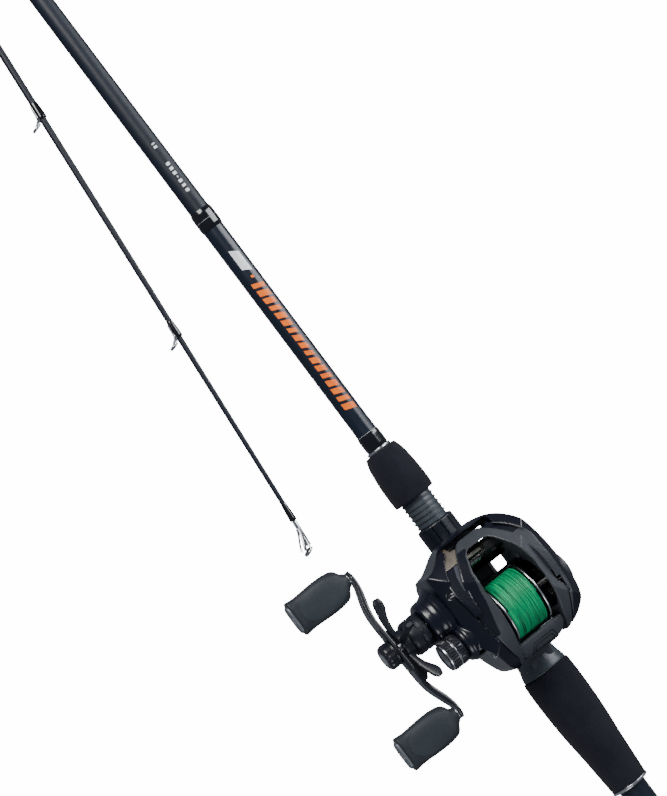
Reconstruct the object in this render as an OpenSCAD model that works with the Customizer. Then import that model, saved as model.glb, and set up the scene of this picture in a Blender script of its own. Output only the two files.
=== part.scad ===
/* [Rod] */
// Length of the butt section from its cap to the ferrule mouth, as two lengths about the spool: behind it
behind_len = 372; // [300:1:420]
// Length of the butt section ahead of the spool axis, up to the ferrule mouth
ahead_len = 850; // [700:1:900]
// Radius of the blank where it leaves the handle
blank_r = 5.8; // [5.2:0.1:6.4]
// Length of the tip section from its tip-top to its ferrule shoulder
tip_len = 1210; // [1100:1:1260]
// Radius of the tip section's male ferrule
ferrule_r = 3.6; // [3.4:0.05:3.6]
// Length of the male ferrule
ferrule_len = 65; // [50:1:70]
// Height of the tip section's axis below the butt section's axis, as it lies beside it
tip_drop = 15; // [14:0.5:20]

/* [Handle] */
// Radius of the rear grip where a rod holder takes it
grip_r = 13; // [12:0.5:15]
// Radius of the reel seat's barrel
seat_r = 11.2; // [11.2:0.1:12]
// Pitch of the seat thread
thread_pitch = 3; // [2.5:0.25:3.5]

/* [Reel] */
// Height of the spool's axis above the rod's axis
spool_z = 30; // [30:0.1:30]
// Radius of the spool's flanges
flange_r = 17; // [16:0.1:17.2]
// Radius of the line on the spool
line_r = 16.2; // [12:0.1:16.4]
// Teeth of the main gear
main_teeth = 70; // [70:1:70]
// Teeth of the pinion
pinion_teeth = 11; // [11:1:11]
// Distance from the handle's centre to each knob's axis
crank_r = 43.8; // [40:0.1:50]
// Angle of the handle arm at rest
crank_rest = 9; // [0:1:20]

/* [Hidden] */
$fn = 64;

x0 = -behind_len;
drive_x = 17.6;
drive_z = 20;
worm_x = 29.3;
worm_z = 21.083;
rod_x = 33.4;
rod_z = 30;
wall_in = 14.7;
wall_out = 17;
gear_m = 0.5;
socket_r = ferrule_r + 0.05;
mesh_a = atan2(spool_z - drive_z, -drive_x);
worm_a = atan2(worm_z - drive_z, worm_x - drive_x);
tip_slope = atan2(-23.4, 265);
tip_at = [86.6, 56.75, -tip_drop];
// guides: distance from the tip-top, ring radius, ring height, roll of the guide about the blank
tip_guides = [[125, 2.6, 6.2, 72], [259, 2.9, 6.6, 72], [412, 3.2, 7.4, 72], [585, 3.7, 8.4, 72], [780, 4.3, 9.8, 72], [1000, 5, 11.4, 72]];
butt_guides = [[530, 8, 17], [800, 6.2, 14]];

function lerp(a, b, t) = a + (b - a) * t;
function blank_at(x) = x < 250 ? lerp(7.7, blank_r, max(0, min(1, (x - 60) / 60))) : lerp(blank_r - 0.2, 4.35, (x - 250) / (ahead_len - 250));
// the blanks' outer surfaces, grown by e, to seat what is bound onto them
module butt_outer(e) { turn_x() polygon([[0, 80], [6.1 + e, 102], [blank_r + e, 120], [blank_r + e, 246], [blank_r - 0.2 + e, 250], [4.35 + e, ahead_len], [4.35 + e, ahead_len + 2], [0, ahead_len + 2]]); }
module tip_outer(e) { turn_x() polygon([[0, -1], [1.1 + e, 0.6], [1.75 + e, 295], [4.15 + e, tip_len], [0, tip_len + 1]]); }
function tip_at_r(d) = d < 295 ? lerp(1.1, 1.75, d / 295) : lerp(1.75, 4.15, (d - 295) / (tip_len - 295));
function gear_pts(n, add, ded, slack) = [for (i = [0:n - 1]) for (k = [0:5])
  let (r = n * gear_m / 2,
       rr = [r - ded, r - 0.05, r + add, r + add, r - 0.05, r - ded][k],
       w = (90 / n) * slack * [-1.45, -1, -0.5, 0.5, 1, 1.45][k])
  [rr * cos(i * 360 / n + w), rr * sin(i * 360 / n + w)]];

// outline in X and Z, pushed out along Y from ya to yb
module exy(ya, yb) { translate([0, yb, 0]) rotate([90, 0, 0]) linear_extrude(yb - ya) children(); }
// cylinder along Y
module cy(x, z, r, ya, yb) { translate([x, yb, z]) rotate([90, 0, 0]) cylinder(r = r, h = yb - ya); }
// profile of radius and Y turned about an axis along Y
module turn_y(x, z) { translate([x, 0, z]) rotate([-90, 0, 0]) rotate_extrude() children(); }
// profile of radius and X turned about the rod's axis
module turn_x() { rotate([0, 90, 0]) rotate_extrude() children(); }
module cx(r, xa, xb) { translate([xa, 0, 0]) rotate([0, 90, 0]) cylinder(r = r, h = xb - xa); }
module tube_x(ra, rb, xa, xb) { difference() { cx(ra, xa, xb); cx(rb, xa - 1, xb + 1); } }
module bar(p, q, r) {
  d = q - p; l = norm(d);
  translate(p) rotate([0, acos(d[2] / l), atan2(d[1], d[0])]) cylinder(r = r, h = l, $fn = 20);
}
module at_tip() { translate(tip_at) rotate([0, 0, tip_slope]) children(); }
module at_drive() { translate([drive_x, 0, drive_z]) rotate([0, crank_rest, 0]) children(); }

// ---------- rod ----------
module butt_blank() {
  color([0.11, 0.13, 0.16]) difference() {
    turn_x() polygon([[3, x0 + 4], [7.7, x0 + 4], [7.7, 60], [6.1, 102], [blank_r, 120], [blank_r, 246], [blank_r - 0.2, 250],
      [4.35, ahead_len], [socket_r, ahead_len], [socket_r, ahead_len - ferrule_len - 5], [3.4, ahead_len - ferrule_len - 8], [4.6, 250], [6.5, 60], [6.5, x0 + 8], [3, x0 + 8]]);
  }
}
module butt_cap() {
  color([0.05, 0.05, 0.06]) turn_x() polygon([[0, x0], [10.6, x0], [12, x0 + 1.6], [grip_r - 0.7, x0 + 5], [grip_r - 0.7, x0 + 14], [7.75, x0 + 14], [7.75, x0 + 3.9], [0, x0 + 3.9]]);
}
module rear_grip() {
  color([0.07, 0.07, 0.10]) turn_x() polygon([[7.75, x0 + 14.1], [grip_r, x0 + 14.1], [grip_r, x0 + 95], [11.6, x0 + 112], [10.4, x0 + 122], [7.75, x0 + 122]]);
}
module mid_grip() {
  color([0.07, 0.07, 0.10]) turn_x() polygon([[7.75, -112], [10.4, -112], [12, -88], [13.3, -75], [14, -62], [14.2, -50], [13.9, -40], [13.4, -39.7], [7.75, -39.7]]);
}
module foregrip() {
  color([0.07, 0.07, 0.10]) turn_x() polygon([[9.3, 73.2], [11.6, 72.6], [12, 76], [12, 82], [11.6, 90], [10.8, 97], [9.4, 102.6], [9, 103], [6.6, 103], [7.6, 76.5], [9.3, 76.5]]);
}
module trim_rings() {
  color([0.75, 0.76, 0.78]) {
    turn_x() polygon([[7.75, x0 + 122], [10.6, x0 + 122], [10.6, x0 + 123.6], [7.75, x0 + 123.6]]);
    turn_x() polygon([[7.75, -113.6], [10.6, -113.6], [10.6, -112], [7.75, -112]]);
    turn_x() polygon([[6.25, 103], [7, 103], [7, 104.6], [6.25, 104.6]]);
  }
}
module reel_seat() {
  ridge = [for (i = [0:8]) each [[8.4, 46.2 + i * thread_pitch], [8.9, 47 + i * thread_pitch], [8.9, 47.9 + i * thread_pitch], [8.4, 48.7 + i * thread_pitch]]];
  color([0.17, 0.19, 0.22]) difference() {
    union() {
      turn_x() polygon(concat([[7.75, -39.6], [13, -39.6], [12.9, -37.5], [11.9, -34], [seat_r, -31], [seat_r, 29], [8.6, 30.5], [8.6, 45.6]], ridge, [[8.4, 76.4], [7.75, 76.4]]));
      // finger trigger under the barrel
      translate([0, 4.5, 0]) rotate([90, 0, 0]) linear_extrude(9) polygon([[-22, -9.4], [12, -9.4], [6, -12.5], [1, -18], [-2.5, -25], [-7, -27], [-9.5, -25], [-9, -19], [-13, -13]]);
    }
    // flat and pocket for the reel's foot
    translate([-31, -10, 9]) cube([62, 20, 6]);
    translate([-34.2, -7.3, 9]) cube([5, 14.6, 2.3]);
    translate([-50, 0, 0]) cx(7.75, 0, 140);
  }
}
// bound thread between xa and xb, on a surface of radius ra at xa and rb at xb
module wrap(ra, rb, xa, xb, e) { turn_x() polygon([[ra + 0.02, xa], [ra + e * 0.4, xa], [ra + e, xa + 2], [rb + e, xb - 2], [rb + e * 0.4, xb], [rb + 0.02, xb]]); }
module thread_wraps() {
  color([0.03, 0.03, 0.04]) {
    difference() {
      union() {
        wrap(6.17, 6.025, 105, 113.8, 0.35);
        wrap(blank_r - 0.03, blank_at(258.5), 246.6, 258.5, 0.55);
        for (g = butt_guides) for (q = [-23, 10.8]) wrap(blank_at(g[0] + q), blank_at(g[0] + q + 12.2), g[0] + q, g[0] + q + 12.2, 1.12);
        wrap(blank_at(ahead_len - 32), blank_at(ahead_len - 8), ahead_len - 32, ahead_len - 8, 0.4);
      }
      for (g = butt_guides) translate([g[0], 0, 0]) double_foot_guide(blank_at(g[0]), g[1], g[2], 0.02);
    }
  }
}
module guide_ring(R, h, lean) {
  translate([0, 0, h]) rotate([0, lean, 0]) rotate([0, 90, 0]) translate([0, 0, -0.8]) difference() { cylinder(r = R, h = 1.6); translate([0, 0, -1]) cylinder(r = R - 0.8, h = 4); }
}
module guide_liner(R, h, lean) {
  translate([0, 0, h]) rotate([0, lean, 0]) rotate([0, 90, 0]) rotate_extrude() polygon([[R - 0.8, -0.7], [R - 0.8, 0.7], [R - 1.3, 1], [R - 1.6, 0.5], [R - 1.6, -0.5], [R - 1.3, -1]]);
}
// room for the liner, so the legs stop at its rim
module liner_room(R, h, lean) { translate([0, 0, h]) rotate([0, lean, 0]) rotate([0, 90, 0]) cylinder(r = R - 0.8, h = 5, center = true); }
module single_foot_guide(r, R, h, e) {
  guide_ring(R, h, -28);
  difference() {
    for (s = [-1, 1]) bar([9.2, s * 0.5, r + 0.35], [0.4, s * (R - 0.5) * 0.85, h - R * 0.5], 0.5 + e);
    liner_room(R, h, -28);
  }
  translate([8.5 - e, -1 - e, r - 0.3]) cube([8.5 + 2 * e, 2 + 2 * e, 1 + e]);
}
module double_foot_guide(r, R, h, e) {
  guide_ring(R, h, -6);
  difference() {
    for (s = [-1, 1], q = [-1, 1]) bar([q * 10, s * 0.9, r + 0.5], [q * 0.4, s * (R - 0.6) * 0.9, h - R * 0.4], 0.75 + e);
    liner_room(R, h, -6);
  }
  for (q = [9.4, -20.4]) translate([q - e, -1.2 - e, r - 0.3]) cube([11 + 2 * e, 2.4 + 2 * e, 1 + e]);
}
module butt_guide_frames() {
  color([0.7, 0.71, 0.73]) difference() {
    for (g = butt_guides) translate([g[0], 0, 0]) double_foot_guide(blank_at(g[0]), g[1], g[2], 0);
    butt_outer(0.01);
  }
}
module butt_guide_rings() {
  color([0.1, 0.1, 0.11]) for (g = butt_guides) translate([g[0], 0, 0]) guide_liner(g[1], g[2], -6);
}
module seat_hood() {
  color([0.10, 0.11, 0.13]) difference() {
    turn_x() polygon([[9, 31.2], [12.2, 31.2], [12.7, 33], [12.7, 40], [11, 43.9], [9, 43.9]]);
    translate([30, -8.6, 8]) cube([10.6, 17.2, 3.5]);
  }
}
module seat_nut() {
  color([0.06, 0.07, 0.09]) difference() {
    turn_x() polygon([[9, 44], [10.2, 44], [10.6, 44.6], [10.6, 55.6], [10, 56.5], [9, 56.5]]);
    for (a = [0:30:330]) rotate([a, 0, 0]) translate([43, 0, 11.2]) rotate([0, 90, 0]) cylinder(r = 1.1, h = 12, $fn = 20);
  }
}

// ---------- reel body ----------
side_pts = [[-26, 11.2], [-28.6, 18], [-28.6, 26], [-25, 33], [-19, 39.5], [-10, 45], [0, 48], [10, 49], [20, 48], [30, 44.5], [39, 38.5], [44.5, 31.5], [47.4, 24], [47.2, 18], [44.5, 14.2], [30, 13.4], [27, 11.2]];
top_pts = [[-28.6, -10], [-27, -14], [-25.3, -18.5], [-22, -23.5], [-17, -27.7], [-11, -30.6], [-5, -32.2], [0, -33.3], [11, -31.8], [24, -29.8], [35, -25.6], [42, -20.5], [46, -16], [47.6, -10], [47.6, 10], [46, 16], [42, 21], [39, 26], [38.2, 32.4], [-3, 32.4], [-8, 30], [-11, 28.3], [-18, 25.7], [-24.4, 22.8], [-27.4, 18.5], [-28.6, 13]];
front_pts = [[-17.5, 9.5], [-25, 12], [-31, 18], [-33.5, 25], [-33.5, 31], [-31, 38], [-25, 43.5], [-17, 47.5], [-8, 49], [8, 49], [17, 47.5], [25, 44], [31, 39], [32.4, 36], [32.4, 2], [30, 0], [20, 0], [18, 2], [17.1, 9.5]];
module body_solid() {
  intersection() {
    exy(-40, 40) union() { polygon(side_pts); }
    translate([0, 0, -5]) linear_extrude(60) polygon(top_pts);
    rotate([90, 0, 90]) translate([0, 0, -40]) linear_extrude(100) polygon(front_pts);
  }
}
// the handle side reaches further down, round the main gear
module gear_case(ya, yb, t) {
  intersection() {
    exy(ya, yb) offset_out(t);
    translate([0, 0, -5]) linear_extrude(60) polygon(top_pts);
    rotate([90, 0, 90]) translate([0, 0, -40]) linear_extrude(100) polygon(front_pts);
  }
}
module offset_out(t) {
  scale_in = 1 - t / 34;
  translate([9, 29]) scale(scale_in) translate([-9, -29]) polygon(side_pts);
  translate([drive_x, drive_z]) circle(r = 20.2 - t);
}
module reel_frame() {
  color([0.05, 0.055, 0.08]) difference() {
    union() {
      // two walls
      difference() {
        intersection() { body_solid(); translate([-60, -wall_out, -5]) cube([130, 2 * wall_out, 60]); }
        translate([-60, -wall_in, 12.4]) cube([130, 2 * wall_in, 60]);
        translate([17, -30, 5]) cube([13, 60, 7]);
      }
      // front hood, lower front bar and lower rear bar
      intersection() { body_solid(); translate([37.4, -wall_out, 35]) cube([20, 2 * wall_out, 30]); }
      intersection() { body_solid(); translate([42, -wall_out, 10]) cube([20, 2 * wall_out, 8.5]); }
      // band round the nose
      intersection() { body_solid(); translate([45, -wall_out, 10]) cube([20, 2 * wall_out, 22]); }
      intersection() { body_solid(); translate([-40, -wall_out, 10]) cube([16, 2 * wall_out, 7.6]); }
      // hood top closes forward of the opening
      intersection() { difference() { body_solid(); translate([0, -wall_in, 0]) cube([44.4, 2 * wall_in, 36]); } translate([40.5, -wall_out, 30]) cube([20, 2 * wall_out, 30]); }
      // foot
      translate([-33.8, -7, 9.1]) cube([73.8, 14, 2]);
      translate([-26, -8.5, 9.9]) cube([54, 17, 1.6]);
    }
    // level-wind clearance inside the front
    translate([24, -wall_in, 13]) cube([18, 2 * wall_in, 22]);
    // palm-side mouth that the spool comes out of
    cy(0, spool_z, 17.6, -40, -10);
    // bearings and shafts in the handle-side wall
    cy(0, spool_z, 4.55, 10, 20);
    cy(drive_x, drive_z, 2.06, 10, 20);
    cy(worm_x, worm_z, 2.06, -20, 20);
    cy(rod_x, rod_z, 1.02, -20, 20);
    // slot for the clutch's tab
    translate([-27, 12, 18]) cube([8, 6, 13]);
    // posts of the clutch yoke
    cy(-5.5, 36, 1.01, 15.5, 20);
    cy(-5.5, 24, 1.01, 15.5, 20);
  }
}
module gear_side_plate() {
  color([0.045, 0.05, 0.075]) difference() {
    union() {
      gear_case(wall_out + 0.05, 32.4, 0);
      turn_y(drive_x, drive_z) polygon([[0, 30], [17, 30], [17, 32.6], [14.6, 35.5], [13, 38], [12.6, 43], [0, 43]]);
      turn_y(0, spool_z) polygon([[0, 30], [10.4, 30], [10.4, 35], [9, 36], [6, 36], [6, 42], [0, 42]]);
    }
    // cavity, a wall's thickness inside all three outlines
    intersection() {
      gear_case(wall_out - 1, 30.9, 1.8);
      translate([0, 0, -5]) linear_extrude(60) polygon([[-26.7, 10], [-26.7, 17.6], [-24.6, 21.2], [-17.6, 23.9], [-10.6, 26.6], [-7.6, 28.6], [-4, 30.9], [36.4, 30.9], [37.2, 25.6], [40.4, 20.2], [44.2, 15.4], [44.2, 10]]);
      rotate([90, 0, 90]) translate([0, 0, -40]) linear_extrude(100) polygon([[10, 10], [10, 46.4], [16, 46.2], [23.6, 42.6], [29, 38.2], [30.9, 35], [30.9, 4], [29.4, 1.8], [20.6, 1.8], [19.4, 3.6], [18.6, 10]]);
    }
    cy(drive_x, drive_z, 18.4, wall_out - 1, 27);
    turn_y(0, spool_z) polygon([[0, 16], [5.2, 16], [5.2, 34.6], [2, 34.6], [2, 44], [0, 44]]);
    turn_y(0, spool_z) polygon([[0, 37], [4.05, 37], [4.05, 39.6], [0, 39.6]]);
    turn_y(drive_x, drive_z) polygon([[0, 25], [8.05, 25], [8.05, 42], [5.4, 42], [5.4, 44], [0, 44]]);
    cy(drive_x, drive_z, 12.4, 25, 31);
    // ring-shaped clearance round the nose that the tension knob turns on
    turn_y(0, spool_z) polygon([[6, 36.05], [8.5, 36.05], [8.5, 45], [6, 45]]);
    // two screw recesses
    cy(24, 42.2, 1.7, 22, 40);
    cy(-14, 38, 1.7, 22, 40);
    // room for the yoke's travel, its posts and springs
    exy(25, 30.15) hull() { translate([-5.5, 36]) circle(r = 2.15); translate([-5.5, 24]) circle(r = 2.15); translate([0, 30]) circle(r = 4.3); }
    cy(-5.5, 36, 2.2, 25, 31.6);
    cy(-5.5, 24, 2.2, 25, 31.6);
  }
}
module palm_plate() {
  color([0.045, 0.05, 0.075]) difference() {
    intersection() {
      body_solid();
      translate([-60, -60, -5]) cube([130, 60 - wall_out - 0.05, 60]);
    }
    // hollow inside
    intersection() {
      exy(-29, -10) translate([9, 29]) scale(0.92) translate([-9, -29]) polygon(side_pts);
      translate([-50, -29.5, -5]) cube([110, 20, 60]);
      rotate([90, 0, 90]) translate([0, 0, -24]) linear_extrude(58) polygon([[-10, 14.5], [-24, 16], [-29.5, 22], [-29.5, 34], [-24, 41], [-10, 45.5]]);
      turn_y(0, spool_z) polygon([[0, -5], [21, -5], [21, -19], [18.6, -23], [13.6, -28], [0, -29.3]]);
    }
    cy(0, spool_z, 9.2, -40, -28.2);
  }
}
module side_plate_screws() {
  color([0.5, 0.5, 0.52]) {
    cy(24, 42.2, 1.5, 23, 27.5);
    cy(-14, 38, 1.5, 23, 27.5);
  }
}
module guide_rod() { color([0.8, 0.78, 0.72]) cy(rod_x, rod_z, 1, -16.9, 16.9); }
module worm_shield() {
  color([0.12, 0.12, 0.14]) difference() {
    cy(worm_x, worm_z, 6.4, -wall_in, wall_in);
    cy(worm_x, worm_z, 5.6, -20, 20);
    translate([worm_x - 10, -20, worm_z - 2]) cube([20, 40, 20]);
  }
}
module ring_y(x, z, ra, rb, ya, yb) { difference() { cy(x, z, ra, ya, yb); cy(x, z, rb, ya - 1, yb + 1); } }
module spool_bearings() {
  color([0.72, 0.73, 0.75]) {
    ring_y(0, spool_z, 4.5, 1.55, 14.4, 16.9);
    ring_y(0, spool_z, 4, 1.55, 37, 39.5);
    ring_y(0, spool_z, 4.5, 1.55, -27.6, -25.2);
  }
}
module anti_reverse_bearing() { color([0.6, 0.61, 0.63]) ring_y(drive_x, drive_z, 8, 5, 34, 41.9); }
module yoke_posts() { color([0.7, 0.7, 0.72]) { cy(-5.5, 36, 1, 15.6, 31.5); cy(-5.5, 24, 1, 15.6, 31.5); } }
module yoke_springs() { color([0.75, 0.75, 0.76]) { ring_y(-5.5, 36, 1.9, 1.2, 30.0, 31.5); ring_y(-5.5, 24, 1.9, 1.2, 30.0, 31.5); } }
module magnet_holder() {
  color([0.3, 0.3, 0.32]) difference() {
    cy(0, spool_z, 9, -24.8, -20.5);
    cy(0, spool_z, 2.6, -40, -10);
    for (a = [0:60:300]) translate([0, 0, spool_z]) rotate([0, a, 0]) cy(6, 0, 1.55, -22.6, -19);
  }
}
module brake_magnets() { color([0.8, 0.8, 0.82]) for (a = [0:60:300]) translate([0, 0, spool_z]) rotate([0, a, 0]) cy(6, 0, 1.5, -22.6, -20.2); }

// ---------- spool ----------
module spool() {
  f = flange_r;
  color([0.35, 0.36, 0.38]) turn_y(0, spool_z) polygon([[1.52, -12], [4, -12], [4, -10.2], [f - 1, -10.6], [f, -10.2], [f, -9.4], [f - 1, -9.1], [8, -8.6], [7, -8], [7, 9.5], [8, 10.1], [f - 1, 10.6], [f, 10.9], [f, 11.7], [f - 1, 12.1], [4, 11.7], [4, 13.4], [1.52, 13.4]]);
}
module spool_shaft() {
  color([0.8, 0.8, 0.82]) {
    cy(0, spool_z, 1.5, -27.8, 41);
    translate([-2.4, 18.6, spool_z]) rotate([0, 90, 0]) cylinder(r = 0.55, h = 4.8);
  }
}
module braided_line() { color([0.0, 0.55, 0.32]) turn_y(0, spool_z) polygon([[7.05, -7.9], [8, -8.5], [line_r, -8.9], [line_r, 10.4], [8, 10], [7.05, 9.4]]); }
module pinion_gear() {
  color([0.75, 0.62, 0.3]) difference() {
    union() {
      translate([0, 0, spool_z]) exy(18.2, 26.9) rotate(mesh_a + 180 + 180 / pinion_teeth) polygon(gear_pts(pinion_teeth, 0.38, 0.62, 0.82));
      cy(0, spool_z, 2.15, 26.8, 29.6);
      cy(0, spool_z, 3, 28.9, 29.6);
      cy(0, spool_z, 3, 26.8, 27.0);
    }
    cy(0, spool_z, 1.58, 10, 40);
    translate([-3, 17.9, spool_z - 0.7]) cube([6, 1.5, 1.4]);
  }
}
module clutch_yoke() {
  color([0.7, 0.7, 0.72]) difference() {
    exy(27.2, 28.6) union() {
      hull() { translate([-5.5, 36]) circle(r = 2); translate([-5.5, 24]) circle(r = 2); translate([-3, 30]) circle(r = 3); }
      translate([0, 30]) circle(r = 4);
    }
    cy(0, spool_z, 2.25, 20, 40);
    cy(-5.5, 36, 1.06, 20, 40);
    cy(-5.5, 24, 1.06, 20, 40);
    translate([0, 20, spool_z - 2.25]) cube([6, 20, 4.5]);
  }
}
module thumb_bar() {
  color([0.16, 0.17, 0.19]) union() {
    exy(-14.3, 14.3) polygon([[-17.2, 36.4], [-18.6, 37.4], [-22, 35.4], [-25.4, 31.6], [-27.6, 27], [-27.2, 24], [-25.4, 23.4], [-23.6, 26.5], [-19.4, 31.6]]);
    translate([-24.7, 14, 24.6]) cube([3.2, 4.4, 3.4]);
  }
}
module clutch_plate() { color([0.6, 0.6, 0.62]) translate([-23.5, 18.45, 24.4]) cube([14.9, 1.1, 4]); }

// ---------- handle and drive ----------
module drive_shaft() {
  color([0.72, 0.73, 0.75]) union() {
    cy(drive_x, drive_z, 2, 14.9, 17.3);
    cy(drive_x, drive_z, 3, 17.25, 66);
  }
}
module main_gear() {
  color([0.78, 0.64, 0.32]) translate([drive_x, 0, drive_z]) difference() {
    exy(21.6, 25.2) rotate(mesh_a) polygon(gear_pts(main_teeth, 0.38, 0.6, 0.82));
    cy(0, 0, 3.02, 10, 40);
    cy(0, 0, 12.6, 23.6, 30);
  }
}
module drag_washers() {
  color([0.2, 0.2, 0.21]) {
    ring_y(drive_x, drive_z, 12.3, 3.02, 23.65, 25.1);
    ring_y(drive_x, drive_z, 12.2, 3.02, 25.2, 26.4);
    ring_y(drive_x, drive_z, 12.2, 3.02, 26.5, 27.8);
  }
}
module ratchet_wheel() {
  color([0.65, 0.66, 0.68]) translate([drive_x, 0, drive_z]) difference() {
    exy(20.5, 21.5) polygon([for (i = [0:35]) let (r = i % 3 == 0 ? 10.4 : i % 3 == 1 ? 9 : 9.7) [r * cos(i * 10), r * sin(i * 10)]]);
    cy(0, 0, 3.02, 10, 40);
  }
}
module level_wind_drive_gear() {
  color([0.85, 0.84, 0.8]) translate([drive_x, 0, drive_z]) difference() {
    exy(17.7, 20.3) rotate(worm_a) polygon(gear_pts(30, 0.38, 0.6, 0.82));
    cy(0, 0, 3.02, 10, 40);
  }
}
module bearing_sleeve() { color([0.7, 0.71, 0.73]) ring_y(drive_x, drive_z, 4.95, 3.02, 28, 43.4); }
module worm_gear() {
  color([0.85, 0.84, 0.8]) translate([worm_x, 0, worm_z]) difference() {
    exy(17.7, 20.3) rotate(worm_a + 180 + 180 / 17) polygon(gear_pts(17, 0.38, 0.6, 0.82));
    cy(0, 0, 1.5, 10, 40);
  }
}
module worm_shaft() {
  color([0.7, 0.71, 0.73]) turn_y(worm_x, worm_z) polygon(concat([[0, -16.9], [2, -16.9], [2, -14], [2.5, -13.9]],
    [for (i = [0:10]) each [[2.5, -12.6 + i * 2.4], [2.1, -12.1 + i * 2.4], [2.1, -11.3 + i * 2.4], [2.5, -10.8 + i * 2.4]]],
    [[2.5, 13.9], [2, 14], [2, 17.1], [1.5, 17.2], [1.5, 20.4], [0, 20.4]]));
}
module star_drag() {
  color([0.10, 0.105, 0.12]) at_star() difference() {
    union() {
      ring_y(0, 0, 10, 5.2, 43.8, 48.6);
      ring_y(0, 0, 10, 3.1, 48.5, 54.4);
      ring_y(0, 0, 8, 3.1, 54.3, 59.7);
      for (a = [0:72:288]) rotate([0, a, 0]) translate([0, 0, -1.25]) linear_extrude(2.5)
        polygon([[6, 56.2], [10, 56.1], [16, 55.6], [19, 54.2], [22, 53.1], [25, 52.9], [27, 54], [27.4, 55.2], [26, 56.6], [22, 58], [16, 59.3], [10, 59.7], [6, 59.7]]);
    }
    cy(0, 0, 3.1, 40, 60);
  }
}
module at_star() { translate([drive_x, 0, drive_z]) children(); }
module handle_arm() {
  color([0.09, 0.09, 0.11]) at_drive() difference() {
    intersection() {
      translate([0, 0, -6]) linear_extrude(12) polygon([[-crank_r - 3.5, 57.9], [-38, 58.2], [-31, 60.4], [-23, 63.1], [-15, 63.5], [15, 63.5], [23, 63.1], [31, 60.4], [38, 58.2], [crank_r + 3.5, 57.9], [crank_r + 3.5, 55.2], [38, 55.5], [30, 57.6], [22, 60.2], [14, 60.5], [-14, 60.5], [-22, 60.2], [-30, 57.6], [-38, 55.5], [-crank_r - 3.5, 55.2]]);
      exy(40, 80) union() {
        polygon([[-crank_r, -3.6], [-10, -4.2], [10, -4.2], [crank_r, -3.6], [crank_r, 3.6], [10, 4.2], [-10, 4.2], [-crank_r, 3.6]]);
        for (s = [-1, 1]) translate([s * crank_r, 0]) circle(r = 3.6);
        circle(r = 6);
      }
    }
    cy(0, 0, 3.02, 40, 80);
    cy(crank_r, 0, 2.01, 40, 80);
    cy(-crank_r, 0, 2.01, 40, 80);
  }
}
module handle_nut() {
  color([0.08, 0.08, 0.10]) turn_y(drive_x, drive_z) polygon([[3.02, 63.55], [7.2, 63.55], [7.2, 68.6], [6.2, 70.2], [0, 70.2], [0, 66.1], [3.02, 66.1]]);
}
module knob_posts() { color([0.7, 0.7, 0.72]) at_drive() for (s = [-1, 1]) { cy(s * crank_r, 0, 2, 55.3, 88); cy(s * crank_r, 0, 3, 88, 89.2); } }
module knob(s) {
  at_drive() translate([s * crank_r, 0, 0]) rotate([0, -crank_rest, 0]) difference() {
    intersection() {
      translate([0, 0, -8]) linear_extrude(16) polygon([[-4.4, 58.6], [4.4, 58.6], [4.6, 60.6], [7.6, 61.8], [8.8, 65], [10, 74], [10.1, 84], [9.6, 91.5], [8, 92.8], [-8, 92.8], [-9.6, 91.5], [-10.1, 84], [-10, 74], [-8.8, 65], [-7.6, 61.8], [-4.6, 60.6]]);
      rotate([0, 90, 0]) translate([0, 0, -12]) linear_extrude(24) polygon([[-3.6, 58.6], [3.6, 58.6], [4.6, 62], [5.7, 68], [6.1, 78], [5.8, 88], [5, 92.8], [-5, 92.8], [-5.8, 88], [-6.1, 78], [-5.7, 68], [-4.6, 62]]);
    }
    cy(0, 0, 2.06, 40, 88.2);
    cy(0, 0, 3.4, 87.9, 95);
  }
}
module knob_front() { color([0.13, 0.15, 0.17]) knob(1); }
module knob_rear() { color([0.13, 0.15, 0.17]) knob(-1); }
module knob_cap(s) { at_drive() translate([s * crank_r, 0, 0]) { cy(0, 0, 3.38, 90, 92.6); cy(0, 0, 4.6, 92.8, 94); cy(0, 0, 3.38, 92.5, 92.9); } }
module knob_cap_front() { color([0.3, 0.32, 0.35]) knob_cap(1); }
module knob_cap_rear() { color([0.3, 0.32, 0.35]) knob_cap(-1); }
module line_guide_carriage() {
  y = -7;
  color([0.07, 0.07, 0.08]) difference() {
    exy(y - 4.2, y + 4.2) polygon([[26, 17.4], [29.3, 16.1], [32.6, 17.4], [34.6, 21], [36.2, 27], [36.4, 36], [34.6, 38.6], [30.6, 38.6], [28.8, 36], [28.2, 28], [25.4, 21]]);
    cy(worm_x, worm_z, 2.56, -20, 20);
    cy(rod_x, rod_z, 1.05, -20, 20);
    translate([worm_x, y, 15]) cylinder(r = 1.62, h = 4);
    translate([20, y, 34.8]) rotate([0, 90, 0]) cylinder(r = 2.4, h = 20);
  }
}
module line_eyelet() { color([0.2, 0.2, 0.22]) translate([0, -7, 34.8]) difference() { turn_x() polygon([[1.5, 28.6], [1.2, 30], [1.2, 35], [1.5, 36.6], [2.38, 36.6], [2.38, 28.6]]); } }
module level_wind_pawl() { color([0.8, 0.7, 0.4]) translate([worm_x, -7, 16.2]) cylinder(r = 1.6, h = 2.3); }
module tension_knob() {
  color([0.07, 0.07, 0.08]) difference() {
    turn_y(0, spool_z) polygon([[0, 47.4], [7.4, 47.4], [8.2, 46.4], [8.2, 41.5], [7.9, 41.2], [8.3, 40.9], [8.3, 37.2], [7.6, 36.3], [6.08, 36.3], [6.08, 42.4], [0, 42.4]]);
    for (a = [0:20:340]) translate([0, 0, spool_z]) rotate([0, a, 0]) cy(8.75, 0, 0.75, 41.6, 46.2, $fn = 12);
  }
}
module brake_dial() {
  color([0.12, 0.13, 0.15]) difference() {
    turn_y(0, spool_z) polygon([[0, -33.4], [6, -33.3], [8.6, -32.4], [9, -31], [9, -28.4], [0, -28.4]]);
    for (s = [-1, 1]) translate([s * 4.6 - 1.6, -36, spool_z - 6]) cube([3.2, 4, 12]);
  }
}

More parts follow.
